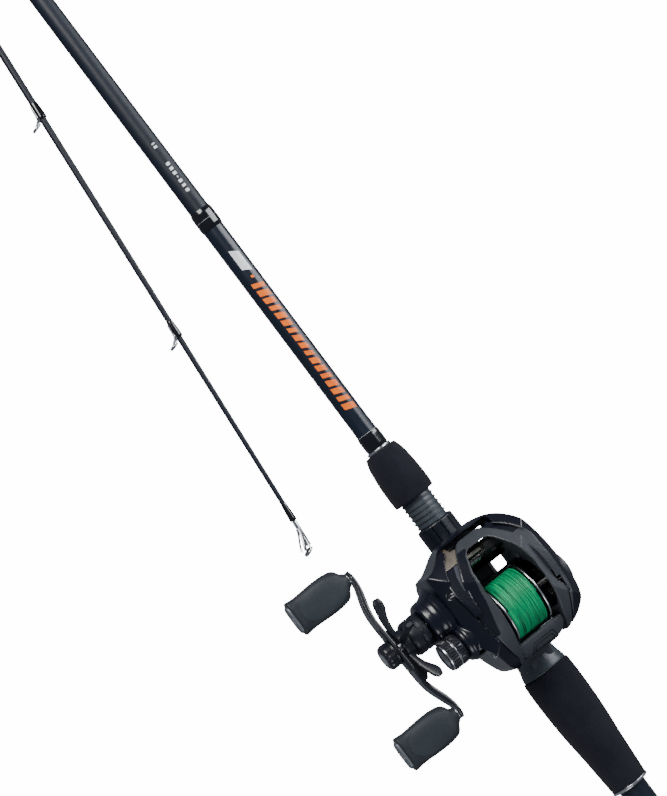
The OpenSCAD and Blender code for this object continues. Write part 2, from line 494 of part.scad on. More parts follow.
// ---------- tip section ----------
module tip_blank() {
  color([0.11, 0.13, 0.16]) at_tip() turn_x() polygon([[0, 0.6], [1.1, 0.6], [1.75, 295], [4.15, tip_len], [ferrule_r, tip_len + 0.4], [ferrule_r, tip_len + ferrule_len], [2.6, tip_len + ferrule_len], [2.6, tip_len - 20], [0.9, 400], [0, 400]]);
}
module at_tip_guides() { for ($g = tip_guides) translate([$g[0], 0, 0]) rotate([-$g[3], 0, 0]) translate([-6, 0, 0]) children(); }
module tip_wraps() {
  color([0.03, 0.03, 0.04]) at_tip() {
    difference() {
      union() {
        wrap(tip_at_r(15.6), tip_at_r(26.5), 15.6, 26.5, 0.5);
        for (g = tip_guides) wrap(tip_at_r(g[0] + 4), tip_at_r(g[0] + 13), g[0] + 4, g[0] + 13, 1.05);
        wrap(tip_at_r(tip_len - 40), tip_at_r(tip_len - 16), tip_len - 40, tip_len - 16, 0.35);
      }
      at_tip_guides() single_foot_guide(tip_at_r($g[0]), $g[1], $g[2], 0.02);
    }
  }
}
module tip_guide_frames() {
  color([0.75, 0.76, 0.78]) at_tip() difference() {
    at_tip_guides() single_foot_guide(tip_at_r($g[0]), $g[1], $g[2], 0);
    tip_outer(0.01);
  }
}
module tip_guide_rings() {
  color([0.1, 0.1, 0.11]) at_tip() at_tip_guides() guide_liner($g[1], $g[2], -28);
}
module tip_top() {
  color([0.75, 0.76, 0.78]) at_tip() rotate([-75, 0, 0]) {
    tube_x(1.55, 1.16, 0.7, 15.4);
    translate([-2.6, 0, 1.5]) rotate([0, -31, 0]) rotate([0, 90, 0]) difference() { cylinder(r = 2.9, h = 1.1, center = true); cylinder(r = 2.2, h = 4, center = true); }
    for (s = [-1, 1]) bar([9, s * 1.35, 0.9], [-0.6, s * 2.35, 2.3], 0.4);
  }
}
module tip_top_ring() {
  color([0.1, 0.1, 0.11]) at_tip() rotate([-75, 0, 0]) translate([-2.6, 0, 1.5]) rotate([0, -31, 0]) rotate([0, 90, 0]) rotate_extrude() polygon([[2.2, -0.6], [2.2, 0.6], [1.8, 0.8], [1.55, 0.4], [1.55, -0.4], [1.8, -0.8]]);
}

butt_blank();
butt_cap();
rear_grip();
mid_grip();
foregrip();
trim_rings();
reel_seat();
thread_wraps();
butt_guide_frames();
butt_guide_rings();
seat_hood();
seat_nut();
reel_frame();
gear_side_plate();
palm_plate();
side_plate_screws();
guide_rod();
worm_shield();
spool_bearings();
anti_reverse_bearing();
yoke_posts();
yoke_springs();
magnet_holder();
brake_magnets();
spool();
spool_shaft();
braided_line();
pinion_gear();
clutch_yoke();
thumb_bar();
clutch_plate();
drive_shaft();
main_gear();
drag_washers();
ratchet_wheel();
level_wind_drive_gear();
bearing_sleeve();
handle_arm();
handle_nut();
knob_posts();
worm_shaft();
worm_gear();
line_guide_carriage();
line_eyelet();
level_wind_pawl();
star_drag();
knob_front();
knob_rear();
knob_cap_front();
knob_cap_rear();
tension_knob();
brake_dial();
tip_blank();
tip_wraps();
tip_guide_frames();
tip_guide_rings();
tip_top();
tip_top_ring();
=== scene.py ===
import bpy
import math
import numpy as np
from mathutils import Matrix, Vector


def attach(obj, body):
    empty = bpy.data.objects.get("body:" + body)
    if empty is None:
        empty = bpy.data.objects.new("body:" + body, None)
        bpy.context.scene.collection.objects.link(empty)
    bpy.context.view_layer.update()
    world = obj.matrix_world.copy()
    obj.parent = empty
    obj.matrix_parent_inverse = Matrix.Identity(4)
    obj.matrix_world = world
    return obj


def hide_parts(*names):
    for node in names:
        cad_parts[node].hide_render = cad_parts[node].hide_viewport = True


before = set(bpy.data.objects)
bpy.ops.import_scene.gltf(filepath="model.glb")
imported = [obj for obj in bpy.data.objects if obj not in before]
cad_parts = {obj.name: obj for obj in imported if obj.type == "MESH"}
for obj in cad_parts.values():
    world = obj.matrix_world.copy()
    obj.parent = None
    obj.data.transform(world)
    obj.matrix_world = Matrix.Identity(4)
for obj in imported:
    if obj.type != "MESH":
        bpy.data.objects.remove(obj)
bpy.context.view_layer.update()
MM = 0.001
rad = math.radians

# ------------------------------------------------------------------ camera and stage
PHI = rad(15.5)
toward = Vector((0, math.sin(PHI), math.cos(PHI)))
side = Vector((0, math.cos(PHI), -math.sin(PHI)))
ex = Vector((1, 0, 0))
right = ex * -0.6007 + side * -0.7995
up = ex * 0.7995 + side * -0.6007
cam = bpy.data.objects.new("camera", bpy.data.cameras.new("camera"))
bpy.context.scene.collection.objects.link(cam)
cam.matrix_world = Matrix.Translation(Vector((0.1390, 0.003, 0.0)) + toward * 1.585) @ Matrix((right, up, toward)).transposed().to_4x4()
cam.data.lens = 138.4
cam.data.sensor_width = 36
cam.data.clip_start = 0.05
cam.data.clip_end = 20
bpy.context.scene.camera = cam


def node_mat(name):
    m = bpy.data.materials.new(name)
    m.use_nodes = True
    nt = m.node_tree
    return m, nt, nt.nodes["Principled BSDF"]


def area(name, loc, target, size, power, color=(1, 1, 1), size_y=None):
    l = bpy.data.lights.new(name, "AREA")
    l.energy = power
    l.color = color
    l.shape = "RECTANGLE"
    l.size = size
    l.size_y = size_y or size
    o = bpy.data.objects.new(name, l)
    bpy.context.scene.collection.objects.link(o)
    o.location = loc
    o.rotation_euler = (Vector(target) - Vector(loc)).to_track_quat("-Z", "Y").to_euler()
    return o


mid = Vector((0.12, 0, 0.02))
area("key", mid + up * 0.5 + right * -0.55 + toward * 0.75, mid, 0.6, 14, (1, 0.985, 0.96))
area("rim", mid + up * 0.7 + right * 0.65 + toward * 0.3, mid, 0.3, 9, (0.93, 0.96, 1), 1.0)
area("fill", mid + up * -0.8 + right * 0.3 + toward * 0.6, mid, 0.5, 3, (0.95, 0.97, 1))
world = bpy.data.worlds.new("studio")
world.use_nodes = True
bpy.context.scene.world = world
wn = world.node_tree
wn.nodes["Background"].inputs[0].default_value = (0.8, 0.88, 1.0, 1)
wn.nodes["Background"].inputs[1].default_value = 0.2

fm, fnt, fb = node_mat("floor_pale")
fb.inputs["Base Color"].default_value = (0.93, 0.93, 0.935, 1)
fb.inputs["Roughness"].default_value = 0.9
fb.inputs["Emission Color"].default_value = (1, 1, 1, 1)
fb.inputs["Emission Strength"].default_value = 14.0
fme = bpy.data.meshes.new("floor")
fme.from_pydata([(-6, -6, -0.32), (6, -6, -0.32), (6, 6, -0.32), (-6, 6, -0.32)], [], [(0, 1, 2, 3)])
floor = bpy.data.objects.new("floor", fme)
bpy.context.scene.collection.objects.link(floor)
fme.materials.append(fm)
floor.visible_glossy = False
floor.visible_diffuse = False


# ------------------------------------------------------------------ materials
def coords(nt, stretch=(1, 1, 1)):
    t = nt.nodes.new("ShaderNodeTexCoord")
    mp = nt.nodes.new("ShaderNodeMapping")
    mp.inputs["Scale"].default_value = stretch
    nt.links.new(t.outputs["Object"], mp.inputs["Vector"])
    return mp.outputs["Vector"]


def noise(nt, vec, scale, detail=3, rough=0.55):
    n = nt.nodes.new("ShaderNodeTexNoise")
    n.inputs["Scale"].default_value = scale
    n.inputs["Detail"].default_value = detail
    n.inputs["Roughness"].default_value = rough
    nt.links.new(vec, n.inputs["Vector"])
    return n.outputs["Fac"]


def ramp(nt, fac, stops):
    r = nt.nodes.new("ShaderNodeValToRGB")
    r.color_ramp.elements[0].position = stops[0][0]
    r.color_ramp.elements[0].color = (*stops[0][1], 1)
    r.color_ramp.elements[1].position = stops[-1][0]
    r.color_ramp.elements[1].color = (*stops[-1][1], 1)
    for p, c in stops[1:-1]:
        e = r.color_ramp.elements.new(p)
        e.color = (*c, 1)
    nt.links.new(fac, r.inputs["Fac"])
    return r.outputs["Color"]


def to_range(nt, fac, lo, hi, a=0.3, b=0.7):
    m = nt.nodes.new("ShaderNodeMapRange")
    m.inputs["From Min"].default_value = a
    m.inputs["From Max"].default_value = b
    m.inputs["To Min"].default_value = lo
    m.inputs["To Max"].default_value = hi
    nt.links.new(fac, m.inputs["Value"])
    return m.outputs["Result"]


def bump(nt, height, dist, strength, normal=None):
    b = nt.nodes.new("ShaderNodeBump")
    b.inputs["Distance"].default_value = dist
    b.inputs["Strength"].default_value = strength
    nt.links.new(height, b.inputs["Height"])
    if normal is not None:
        nt.links.new(normal, b.inputs["Normal"])
    return b.outputs["Normal"]


def material(name, dark, light, rough=(0.4, 0.5), metal=0.0, coat=0.0, coat_rough=0.06, spec=0.5, sheen=0.0,
             grain=900, grain_d=0.00003, grain_s=0.3, patch=45, stretch=(1, 1, 1), wear=None, cells=None, extra=None):
    m, nt, b = node_mat(name)
    v = coords(nt, stretch)
    big = noise(nt, v, patch, 4)
    col = ramp(nt, big, [(0.3, dark), (0.7, light)])
    if wear is not None:
        g = nt.nodes.new("ShaderNodeNewGeometry")
        edge = to_range(nt, g.outputs["Pointiness"], 0, 1, 0.53, 0.6)
        mixer = nt.nodes.new("ShaderNodeMix")
        mixer.data_type = "RGBA"
        nt.links.new(edge, mixer.inputs["Factor"])
        nt.links.new(col, mixer.inputs["A"])
        mixer.inputs["B"].default_value = (*wear, 1)
        col = mixer.outputs["Result"]
    nt.links.new(col, b.inputs["Base Color"])
    fine = noise(nt, v, grain, 2)
    nt.links.new(to_range(nt, noise(nt, v, patch * 3, 3), rough[0], rough[1]), b.inputs["Roughness"])
    n = bump(nt, fine, grain_d, grain_s)
    if cells:
        vo = nt.nodes.new("ShaderNodeTexVoronoi")
        vo.inputs["Scale"].default_value = cells[0]
        nt.links.new(v, vo.inputs["Vector"])
        n = bump(nt, vo.outputs["Distance"], cells[1], cells[2], n)
    nt.links.new(n, b.inputs["Normal"])
    b.inputs["Metallic"].default_value = metal
    b.inputs["Coat Weight"].default_value = coat
    b.inputs["Coat Roughness"].default_value = coat_rough
    b.inputs["Specular IOR Level"].default_value = spec
    b.inputs["Sheen Weight"].default_value = sheen
    b.inputs["Sheen Roughness"].default_value = 0.6
    return m


M = {
    "eva": material("eva_foam", (0.0042, 0.0046, 0.0105), (0.008, 0.0086, 0.0165), (0.82, 0.95), spec=0.2, sheen=0.05, grain=5200, grain_d=0.00009, grain_s=0.7, patch=70, cells=(2400, 0.00012, 0.55)),
    "eva_cap": material("rubber_cap", (0.007, 0.007, 0.008), (0.012, 0.012, 0.013), (0.6, 0.75), spec=0.35, grain=3000, grain_d=0.00005, grain_s=0.4),
    "blank_matte": material("blank_matte", (0.0024, 0.0048, 0.012), (0.0046, 0.0082, 0.0185), (0.4, 0.5), spec=0.4, coat=0.1, coat_rough=0.35, grain=700, grain_d=0.00002, grain_s=0.25, patch=30, stretch=(0.12, 1, 1)),
    "blank_gloss": material("blank_gloss", (0.0014, 0.004, 0.0115), (0.0036, 0.009, 0.0205), (0.3, 0.38), spec=0.45, coat=0.3, coat_rough=0.2, grain=260, grain_d=0.00002, grain_s=0.12, patch=60, stretch=(0.25, 1, 1)),
    "wrap": material("thread_wrap", (0.0008, 0.001, 0.003), (0.0025, 0.0028, 0.0055), (0.12, 0.2), spec=0.45, coat=0.7, coat_rough=0.03, grain=160, grain_d=0.0001, grain_s=0.3),
    "silver": material("trim_silver", (0.62, 0.63, 0.65), (0.78, 0.79, 0.81), (0.16, 0.28), metal=1.0, grain=1500, grain_d=0.00001, grain_s=0.2),
    "chrome": material("guide_chrome", (0.6, 0.61, 0.63), (0.76, 0.77, 0.79), (0.12, 0.22), metal=1.0, grain=900, grain_d=0.00001, grain_s=0.2),
    "ceramic": material("guide_ceramic", (0.012, 0.012, 0.013), (0.03, 0.03, 0.032), (0.08, 0.16), coat=0.6, grain=500),
    "seat": material("seat_satin", (0.029, 0.039, 0.05), (0.041, 0.052, 0.065), (0.36, 0.46), coat=0.12, coat_rough=0.3, grain=1600, grain_d=0.00002, grain_s=0.3, wear=(0.08, 0.09, 0.1)),
    "nut": material("nut_satin", (0.0013, 0.0022, 0.0075), (0.003, 0.0045, 0.0125), (0.3, 0.42), spec=0.4, coat=0.1, coat_rough=0.3, grain=1600, grain_d=0.00002, grain_s=0.3, wear=(0.022, 0.026, 0.036)),
    "gloss": material("reel_gloss", (0.0008, 0.0013, 0.0068), (0.0018, 0.0026, 0.0112), (0.24, 0.32), spec=0.45, coat=0.35, coat_rough=0.14, grain=300, grain_d=0.00001, grain_s=0.08, patch=30),
    "satin": material("reel_satin", (0.027, 0.03, 0.038), (0.039, 0.043, 0.053), (0.36, 0.48), spec=0.45, coat=0.08, coat_rough=0.4, grain=4200, grain_d=0.00003, grain_s=0.35, wear=(0.07, 0.074, 0.082)),
    "dark": material("reel_inner", (0.0015, 0.002, 0.003), (0.004, 0.0045, 0.006), (0.35, 0.5), spec=0.35, grain=2200, grain_d=0.00003, grain_s=0.3),
    "knob": material("knob_soft", (0.0055, 0.009, 0.0145), (0.009, 0.0135, 0.0205), (0.48, 0.6), spec=0.4, sheen=0.06, grain=3600, grain_d=0.00004, grain_s=0.4, wear=(0.02, 0.027, 0.036)),
    "knob_end": material("knob_end", (0.12, 0.135, 0.16), (0.2, 0.22, 0.25), (0.3, 0.45), metal=0.3, grain=2600, grain_d=0.00005, grain_s=0.5),
    "arm": material("handle_black", (0.003, 0.0036, 0.0078), (0.0062, 0.0074, 0.0135), (0.26, 0.36), spec=0.5, coat=0.35, coat_rough=0.16, grain=1400, grain_d=0.00001, grain_s=0.2, wear=(0.06, 0.062, 0.07)),
    "star": material("star_satin", (0.0038, 0.005, 0.0098), (0.0072, 0.009, 0.0155), (0.34, 0.46), spec=0.4, coat=0.1, coat_rough=0.3, grain=3000, grain_d=0.00002, grain_s=0.3, wear=(0.05, 0.054, 0.062)),
    "steel": material("turned_steel", (0.5, 0.5, 0.51), (0.68, 0.68, 0.7), (0.18, 0.3), metal=1.0, grain=1800, grain_d=0.00001, grain_s=0.25),
    "brass": material("gear_brass", (0.5, 0.34, 0.12), (0.68, 0.5, 0.22), (0.22, 0.34), metal=1.0, grain=1600),
    "nylon": material("gear_nylon", (0.6, 0.57, 0.5), (0.72, 0.7, 0.63), (0.45, 0.6), grain=1500),
    "drag": material("drag_carbon", (0.012, 0.012, 0.013), (0.05, 0.05, 0.052), (0.5, 0.65), cells=(1500, 0.0001, 0.6)),
    "spool": material("spool_alloy", (0.05, 0.05, 0.055), (0.1, 0.1, 0.105), (0.2, 0.3), metal=1.0, grain=1500),
    "orange": material("mark_orange", (0.9, 0.13, 0.0), (1.0, 0.2, 0.004), (0.4, 0.5), spec=0.3, coat=0.2, coat_rough=0.15, grain=2000, grain_d=0.00001, grain_s=0.2, patch=400),
    "white": material("mark_white", (0.72, 0.74, 0.76), (0.88, 0.9, 0.92), (0.3, 0.42), coat=0.4, coat_rough=0.1, grain=2000, grain_d=0.00001, grain_s=0.2, patch=400),
    "grey": material("mark_grey", (0.28, 0.3, 0.32), (0.4, 0.42, 0.44), (0.3, 0.42), coat=0.4, coat_rough=0.1, grain=2000, grain_d=0.00001, grain_s=0.2, patch=400),
}


M["rod_bright"] = material("guide_rod_bright", (0.55, 0.5, 0.42), (0.7, 0.66, 0.58), (0.3, 0.42), metal=0.25, grain=1500, grain_d=0.00001, grain_s=0.2)
# a lighter copy of the satin: painted light on the rib's up-facing outer flank
M["flank"] = material("rib_flank", (0.034, 0.037, 0.056), (0.048, 0.052, 0.074), (0.36, 0.46), spec=0.5, coat=0.1, coat_rough=0.3, grain=4200, grain_d=0.00002, grain_s=0.2)
# a light grey for the crank arm's outward face: painted highlight from the bright floor's reflection
M["arm_painted_highlight"] = material("arm_painted_highlight", (0.1, 0.105, 0.125), (0.15, 0.157, 0.185), (0.26, 0.36), metal=0.5, grain=1400, grain_d=0.00001, grain_s=0.2, patch=90)
# gold metallic colour for the strip at the groove's top by the nose: a painted reflection
M["champagne"] = material("frame_champagne", (0.34, 0.29, 0.22), (0.52, 0.46, 0.38), (0.24, 0.34), metal=0.85, grain=1500, grain_d=0.00001, grain_s=0.2, patch=90)
# a lighter copy of the knob colour for the pads: painted light on the knob's flat faces
M["knob_pad_painted_light"] = material("knob_pad_painted_light", (0.011, 0.017, 0.024), (0.016, 0.0225, 0.031), (0.5, 0.6), spec=0.4, sheen=0.06, grain=3600, grain_d=0.00004, grain_s=0.4)
M["bar"] = material("thumb_bar_satin", (0.034, 0.038, 0.046), (0.046, 0.051, 0.06), (0.36, 0.48), spec=0.45, coat=0.08, coat_rough=0.4, grain=4200, grain_d=0.00003, grain_s=0.35, wear=(0.09, 0.095, 0.105))


def braid_material():
    m, nt, b = node_mat("braid_green")
    # random lanes along the spool's axis: the strands' own tone varying from turn to turn, plus painted shade for the
    # grooves between turns
    strand_tone_and_groove_shade = noise(nt, coords(nt, (0.02, 1, 0.02)), 2100, 2, 0.6)
    col = ramp(nt, strand_tone_and_groove_shade, [(0.34, (0.0, 0.06, 0.024)), (0.45, (0.0, 0.22, 0.086)), (0.68, (0.0, 0.48, 0.183))])
    nt.links.new(col, b.inputs["Base Color"])
    v = coords(nt)
    w = nt.nodes.new("ShaderNodeTexWave")
    w.wave_type = "BANDS"
    w.bands_direction = "DIAGONAL"
    w.inputs["Scale"].default_value = 1500
    w.inputs["Distortion"].default_value = 2
    nt.links.new(v, w.inputs["Vector"])
    nt.links.new(bump(nt, w.outputs["Fac"], 0.00003, 0.35), b.inputs["Normal"])
    b.inputs["Roughness"].default_value = 0.36
    b.inputs["Specular IOR Level"].default_value = 0.3
    return m


M["braid"] = braid_material()
# a much darker green for the core under the turns: painted shade in the gaps between turns
M["braid_core_painted_shade"] = material("braid_core_painted_shade", (0.0, 0.022, 0.01), (0.0, 0.05, 0.022), (0.6, 0.75), spec=0.2, grain=3000)


# ------------------------------------------------------------------ mesh tools (millimetres in, metres out)
def make(name, verts, faces, mat, sharp=32, transform=None):
    me = bpy.data.meshes.new(name)
    v = np.asarray(verts, dtype=float)
    if transform is not None:
        t = np.array(transform)
        v = v @ t[:3, :3].T + t[:3, 3]
    me.from_pydata((v * MM).tolist(), [], [tuple(int(i) for i in f) for f in faces])
    me.update()
    o = bpy.data.objects.new(name, me)
    bpy.context.scene.collection.objects.link(o)
    finish_mesh(o, mat, sharp)
    return o


def finish_mesh(o, mat, sharp=32):
    me = o.data
    import bmesh
    bm = bmesh.new()
    bm.from_mesh(me)
    bmesh.ops.remove_doubles(bm, verts=bm.verts, dist=1e-7)
    bmesh.ops.recalc_face_normals(bm, faces=bm.faces)
    bm.to_mesh(me)
    bm.free()
    me.polygons.foreach_set("use_smooth", [True] * len(me.polygons))
    me.set_sharp_from_angle(angle=rad(sharp))
    me.materials.clear()
    if mat is not None:
        me.materials.append(mat)
    me.update()


def put(o, body, replaces=()):
    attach(o, body)
    if replaces:
        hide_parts(*replaces)
    return o


def rounded(pts, r, n=4, closed=False):
    """Rounds the corners of a profile by r."""
    out = []
    k = len(pts)
    for i, p in enumerate(pts):
        if not closed and i in (0, k - 1):
            out.append(tuple(p))
            continue
        a = np.array(pts[i - 1], float)
        b = np.array(p, float)
        c = np.array(pts[(i + 1) % k], float)
        la, lc = np.linalg.norm(a - b), np.linalg.norm(c - b)
        if la < 1e-9 or lc < 1e-9:
            out.append(tuple(p))
            continue
        ra, rc = min(r, la * 0.48), min(r, lc * 0.48)
        pa, pc = b + (a - b) / la * ra, b + (c - b) / lc * rc
        for j in range(n + 1):
            t = j / n
            out.append(tuple((1 - t) ** 2 * pa + 2 * t * (1 - t) * b + t * t * pc))
    return out


def revolve(name, profile, mat, axis="x", seg=96, at=(0, 0, 0), sharp=32, transform=None, loop=False, bumps=None):
    """profile: (along, radius) pairs in mm. Points of radius 0 close the ends."""
    n = len(profile)
    verts, faces = [], []
    ang = np.arange(seg) * 2 * math.pi / seg
    for i, (a, r) in enumerate(profile):
        rr = np.full(seg, max(r, 0.0))
        if bumps is not None:
            rr = rr + bumps(a, r, ang)
        c, s = rr * np.cos(ang), rr * np.sin(ang)
        if axis == "x":
            ring = np.stack([np.full(seg, a), c, s], 1)
        elif axis == "y":
            ring = np.stack([s, np.full(seg, a), c], 1)
        else:
            ring = np.stack([c, s, np.full(seg, a)], 1)
        verts.append(ring + np.array(at))
    for i in range(n if loop else n - 1):
        j = (i + 1) % n
        for k in range(seg):
            l = (k + 1) % seg
            faces.append((i * seg + k, i * seg + l, j * seg + l, j * seg + k))
    if not loop:
        if profile[0][1] > 1e-6:
            faces.append(tuple(range(seg)))
        if profile[-1][1] > 1e-6:
            faces.append(tuple((n - 1) * seg + k for k in range(seg)))
    o = make(name, np.concatenate(verts), faces, mat, sharp, transform)
    return o


def spline(pts, n=8, closed=False):
    p = np.array(pts, float)
    k = len(p)
    out = []
    rng = range(k if closed else k - 1)
    for i in rng:
        if closed:
            a, b, c, d = p[i - 1], p[i], p[(i + 1) % k], p[(i + 2) % k]
        else:
            b, c = p[i], p[i + 1]
            a = p[i - 1] if i > 0 else 2 * b - c
            d = p[i + 2] if i + 2 < k else 2 * c - b
        for j in range(n):
            t = j / n
            out.append(0.5 * ((2 * b) + (c - a) * t + (2 * a - 5 * b + 4 * c - d) * t * t + (3 * b - a - 3 * c + d) * t ** 3))
    if not closed:
        out.append(p[-1])
    return np.array(out)


def frames(path, closed=False):
    p = np.asarray(path, float)
    if closed:
        t = np.roll(p, -1, 0) - np.roll(p, 1, 0)
    else:
        t = np.gradient(p, axis=0)
    t /= np.linalg.norm(t, axis=1)[:, None]
    ref = np.array([0, 0, 1.0]) if abs(t[0][2]) < 0.9 else np.array([1.0, 0, 0])
    u = np.cross(t[0], ref)
    u /= np.linalg.norm(u)
    us = [u]
    for i in range(1, len(p)):
        u = us[-1] - t[i] * np.dot(us[-1], t[i])
        us.append(u / np.linalg.norm(u))
    us = np.array(us)
    return p, t, us, np.cross(t, us)


def sweep(name, path, radius, mat, seg=14, closed=False, transform=None, sharp=40, flat=1.0, up_axis=None):
    p, t, u, w = frames(path, closed)
    if up_axis is not None:
        a = np.array(up_axis, float)
        w = a - t * (t @ a)[:, None]
        w /= np.linalg.norm(w, axis=1)[:, None]
        u = np.cross(w, t)
    k = len(p)
    r = np.full(k, radius) if np.isscalar(radius) else np.interp(np.linspace(0, 1, k), np.linspace(0, 1, len(radius)), radius)
    ang = np.arange(seg) * 2 * math.pi / seg
    verts = [p[i] + r[i] * (np.outer(np.cos(ang), u[i]) + flat * np.outer(np.sin(ang), w[i])) for i in range(k)]
    faces = []
    for i in range(k if closed else k - 1):
        j = (i + 1) % k
        for a in range(seg):
            b = (a + 1) % seg
            faces.append((i * seg + a, i * seg + b, j * seg + b, j * seg + a))
    if not closed:
        faces += [tuple(range(seg)), tuple((k - 1) * seg + a for a in range(seg))]
    return make(name, np.concatenate(verts), faces, mat, sharp, transform)


def loft(name, rings, mat, cap=True, sharp=32, transform=None):
    k = len(rings)
    seg = len(rings[0])
    faces = []
    for i in range(k - 1):
        for a in range(seg):
            b = (a + 1) % seg
            faces.append((i * seg + a, i * seg + b, (i + 1) * seg + b, (i + 1) * seg + a))
    if cap:
        faces += [tuple(range(seg)), tuple((k - 1) * seg + a for a in range(seg))]
    return make(name, np.concatenate([np.asarray(r, float) for r in rings]), faces, mat, sharp, transform)


def super_ring(a, b, e, seg=48):
    """A superellipse of half sizes a and b."""
    t = np.arange(seg) * 2 * math.pi / seg
    c, s = np.cos(t), np.sin(t)
    return np.stack([a * np.sign(c) * np.abs(c) ** (2 / e), b * np.sign(s) * np.abs(s) ** (2 / e)], 1)


def prism(name, outline, lo, hi, axis):
    o2 = np.asarray(outline, float)
    k = len(o2)
    verts = []
    for h in (lo, hi):
        hh = np.full(k, h)
        if axis == "z":
            verts.append(np.stack([o2[:, 0], o2[:, 1], hh], 1))
        elif axis == "y":
            verts.append(np.stack([o2[:, 0], hh, o2[:, 1]], 1))
        else:
            verts.append(np.stack([hh, o2[:, 0], o2[:, 1]], 1))
    faces = [tuple(range(k)), tuple(range(2 * k - 1, k - 1, -1))] + [(i, (i + 1) % k, k + (i + 1) % k, k + i) for i in range(k)]
    return make(name, np.concatenate(verts), faces, None)


def block(name, lo, hi):
    return prism(name, [(lo[0], lo[1]), (hi[0], lo[1]), (hi[0], hi[1]), (lo[0], hi[1])], lo[2], hi[2], "z")


def rod_y(name, x, z, r, ya, yb, seg=64):
    t = np.arange(seg) * 2 * math.pi / seg
    return prism(name, np.stack([x + r * np.cos(t), z + r * np.sin(t)], 1), ya, yb, "y")


def bake(o):
    dg = bpy.context.evaluated_depsgraph_get()
    dg.update()
    me = bpy.data.meshes.new_from_object(o.evaluated_get(dg))
    old = o.data
    o.modifiers.clear()
    o.data = me
    bpy.data.meshes.remove(old)
    return o


def boolean(a, b, op="DIFFERENCE", keep=False):
    m = a.modifiers.new("b", "BOOLEAN")
    m.operation = op
    m.object = b
    m.solver = "MANIFOLD"
    bake(a)
    if not keep:
        bpy.data.objects.remove(b, do_unlink=True)
    return a


def copy(o, name):
    c = o.copy()
    c.data = o.data.copy()
    c.name = name
    bpy.context.scene.collection.objects.link(c)
    return c


def soften(o, mat, voxel=0.4, rounds=6, sharp=60, factor=0.6):
    """Moulded look: even mesh, rounded edges."""
    m = o.modifiers.new("r", "REMESH")
    m.mode = "VOXEL"
    m.voxel_size = voxel * MM
    if rounds:
        s = o.modifiers.new("s", "SMOOTH")
        s.factor = factor
        s.iterations = rounds
    bake(o)
    finish_mesh(o, mat, sharp)
    return o


# ------------------------------------------------------------------ numbers shared with the frame
X0, AHEAD, TIP = -372.0, 850.0, 1210.0
DX, DZ = 17.6, 20.0
SZ = 30.0
T_TIP = Matrix.Translation((86.6, 56.75, -15.0)) @ Matrix.Rotation(math.atan2(-23.4, 265), 4, "Z")
T_CRANK = Matrix.Translation((DX, 0, DZ)) @ Matrix.Rotation(rad(9), 4, "Y")


def two_tone(o, mat, test):
    """A second finish on the faces whose centre (mm) and normal pass the test."""
    o.data.materials.append(mat)
    k = len(o.data.materials) - 1
    for q in o.data.polygons:
        c = q.center
        if test(c[0] * 1000, c[1] * 1000, c[2] * 1000, q.normal):
            q.material_index = k


def lerp(a, b, t):
    return a + (b - a) * t


def blank_r(x):
    if x < 250:
        return lerp(7.7, 5.8, max(0, min(1, (x - 60) / 60)))
    return lerp(5.6, 4.35, (x - 250) / (AHEAD - 250))


def tip_r(d):
    return lerp(1.28, 1.98, d / 295) if d < 295 else lerp(1.98, 4.15, (d - 295) / (TIP - 295))


# ------------------------------------------------------------------ butt section
ys = lambda xs: [(x, blank_r(x)) for x in xs]
handle_tube = revolve("handle_tube", [(X0 + 6, 3), (X0 + 6, 7.7), (-110, 7.7), (60, 7.7), (102, 6.1), (120, 5.8), (180, 5.8), (246.5, 5.8), (247, 5.3), (247, 3)], M["blank_gloss"], seg=96)
put(handle_tube, "rod", ["butt_blank"])
upper = [(247, 3.5), (247, 5.62)] + [(x, blank_r(x)) for x in np.linspace(256, AHEAD - 0.5, 60)] + [(AHEAD, 4.2), (AHEAD, 3.67), (AHEAD - 60, 3.67), (AHEAD - 60, 3.0)]
put(revolve("butt_blank_upper", upper, M["blank_matte"], seg=80), "rod", ["butt_blank"])

put(revolve("butt_cap_skin", rounded([(X0, 0), (X0, 10.2), (X0 + 1.8, 11.8), (X0 + 5, 12.3), (X0 + 13.9, 12.3), (X0 + 13.9, 8)], 1.2), M["eva_cap"]), "rod", ["butt_cap"])


def foam(name, pts, node):
    body = spline(pts, 10)
    prof = rounded([(body[0][0], 7.9)] + [tuple(p) for p in body] + [(body[-1][0], 7.0)], 0.8, 3)
    put(revolve(name, prof, M["eva"], seg=128), "rod", [node])


foam("rear_grip_foam", [(X0 + 14.2, 12.6), (X0 + 17, 13), (X0 + 50, 13), (X0 + 92, 13), (X0 + 104, 12.4), (X0 + 113, 11.5), (X0 + 121.9, 10.4)], "rear_grip")
foam("mid_grip_foam", [(-111.9, 10.4), (-100, 11.25), (-88, 12.1), (-75, 13.3), (-62, 13.95), (-50, 14.15), (-42, 13.95), (-39.8, 13.6)], "mid_grip")
fg = spline([(72.8, 11.5), (74, 11.85), (79, 12.05), (85, 11.9), (91, 11.5), (97, 10.8), (101, 9.7), (102.9, 8.9)], 8)
prof = rounded([(76.6, 8.2), (76.4, 9.3), (73.6, 9.6), (72.7, 10.2)] + [tuple(p) for p in fg] + [(103, 6.6)], 0.7, 3)
put(revolve("foregrip_foam", prof, M["eva"], seg=128), "rod", ["foregrip"])


def band(name, xa, xb, r0, r1, mat, node=None, body="rod", transform=None):
    o = revolve(name, rounded([(xa, r0), (xa, r1), (xb, r1), (xb, r0)], 0.35, 4), mat, seg=96, transform=transform)
    put(o, body, [node] if node else ())


band("trim_rear", X0 + 122, X0 + 123.6, 7.8, 10.6, M["silver"], "trim_rings")
band("trim_mid", -113.5, -112.0, 7.8, 10.6, M["silver"], "trim_rings")
band("trim_fore", 103.05, 104.5, 6.3, 7.0, M["silver"], "trim_rings")


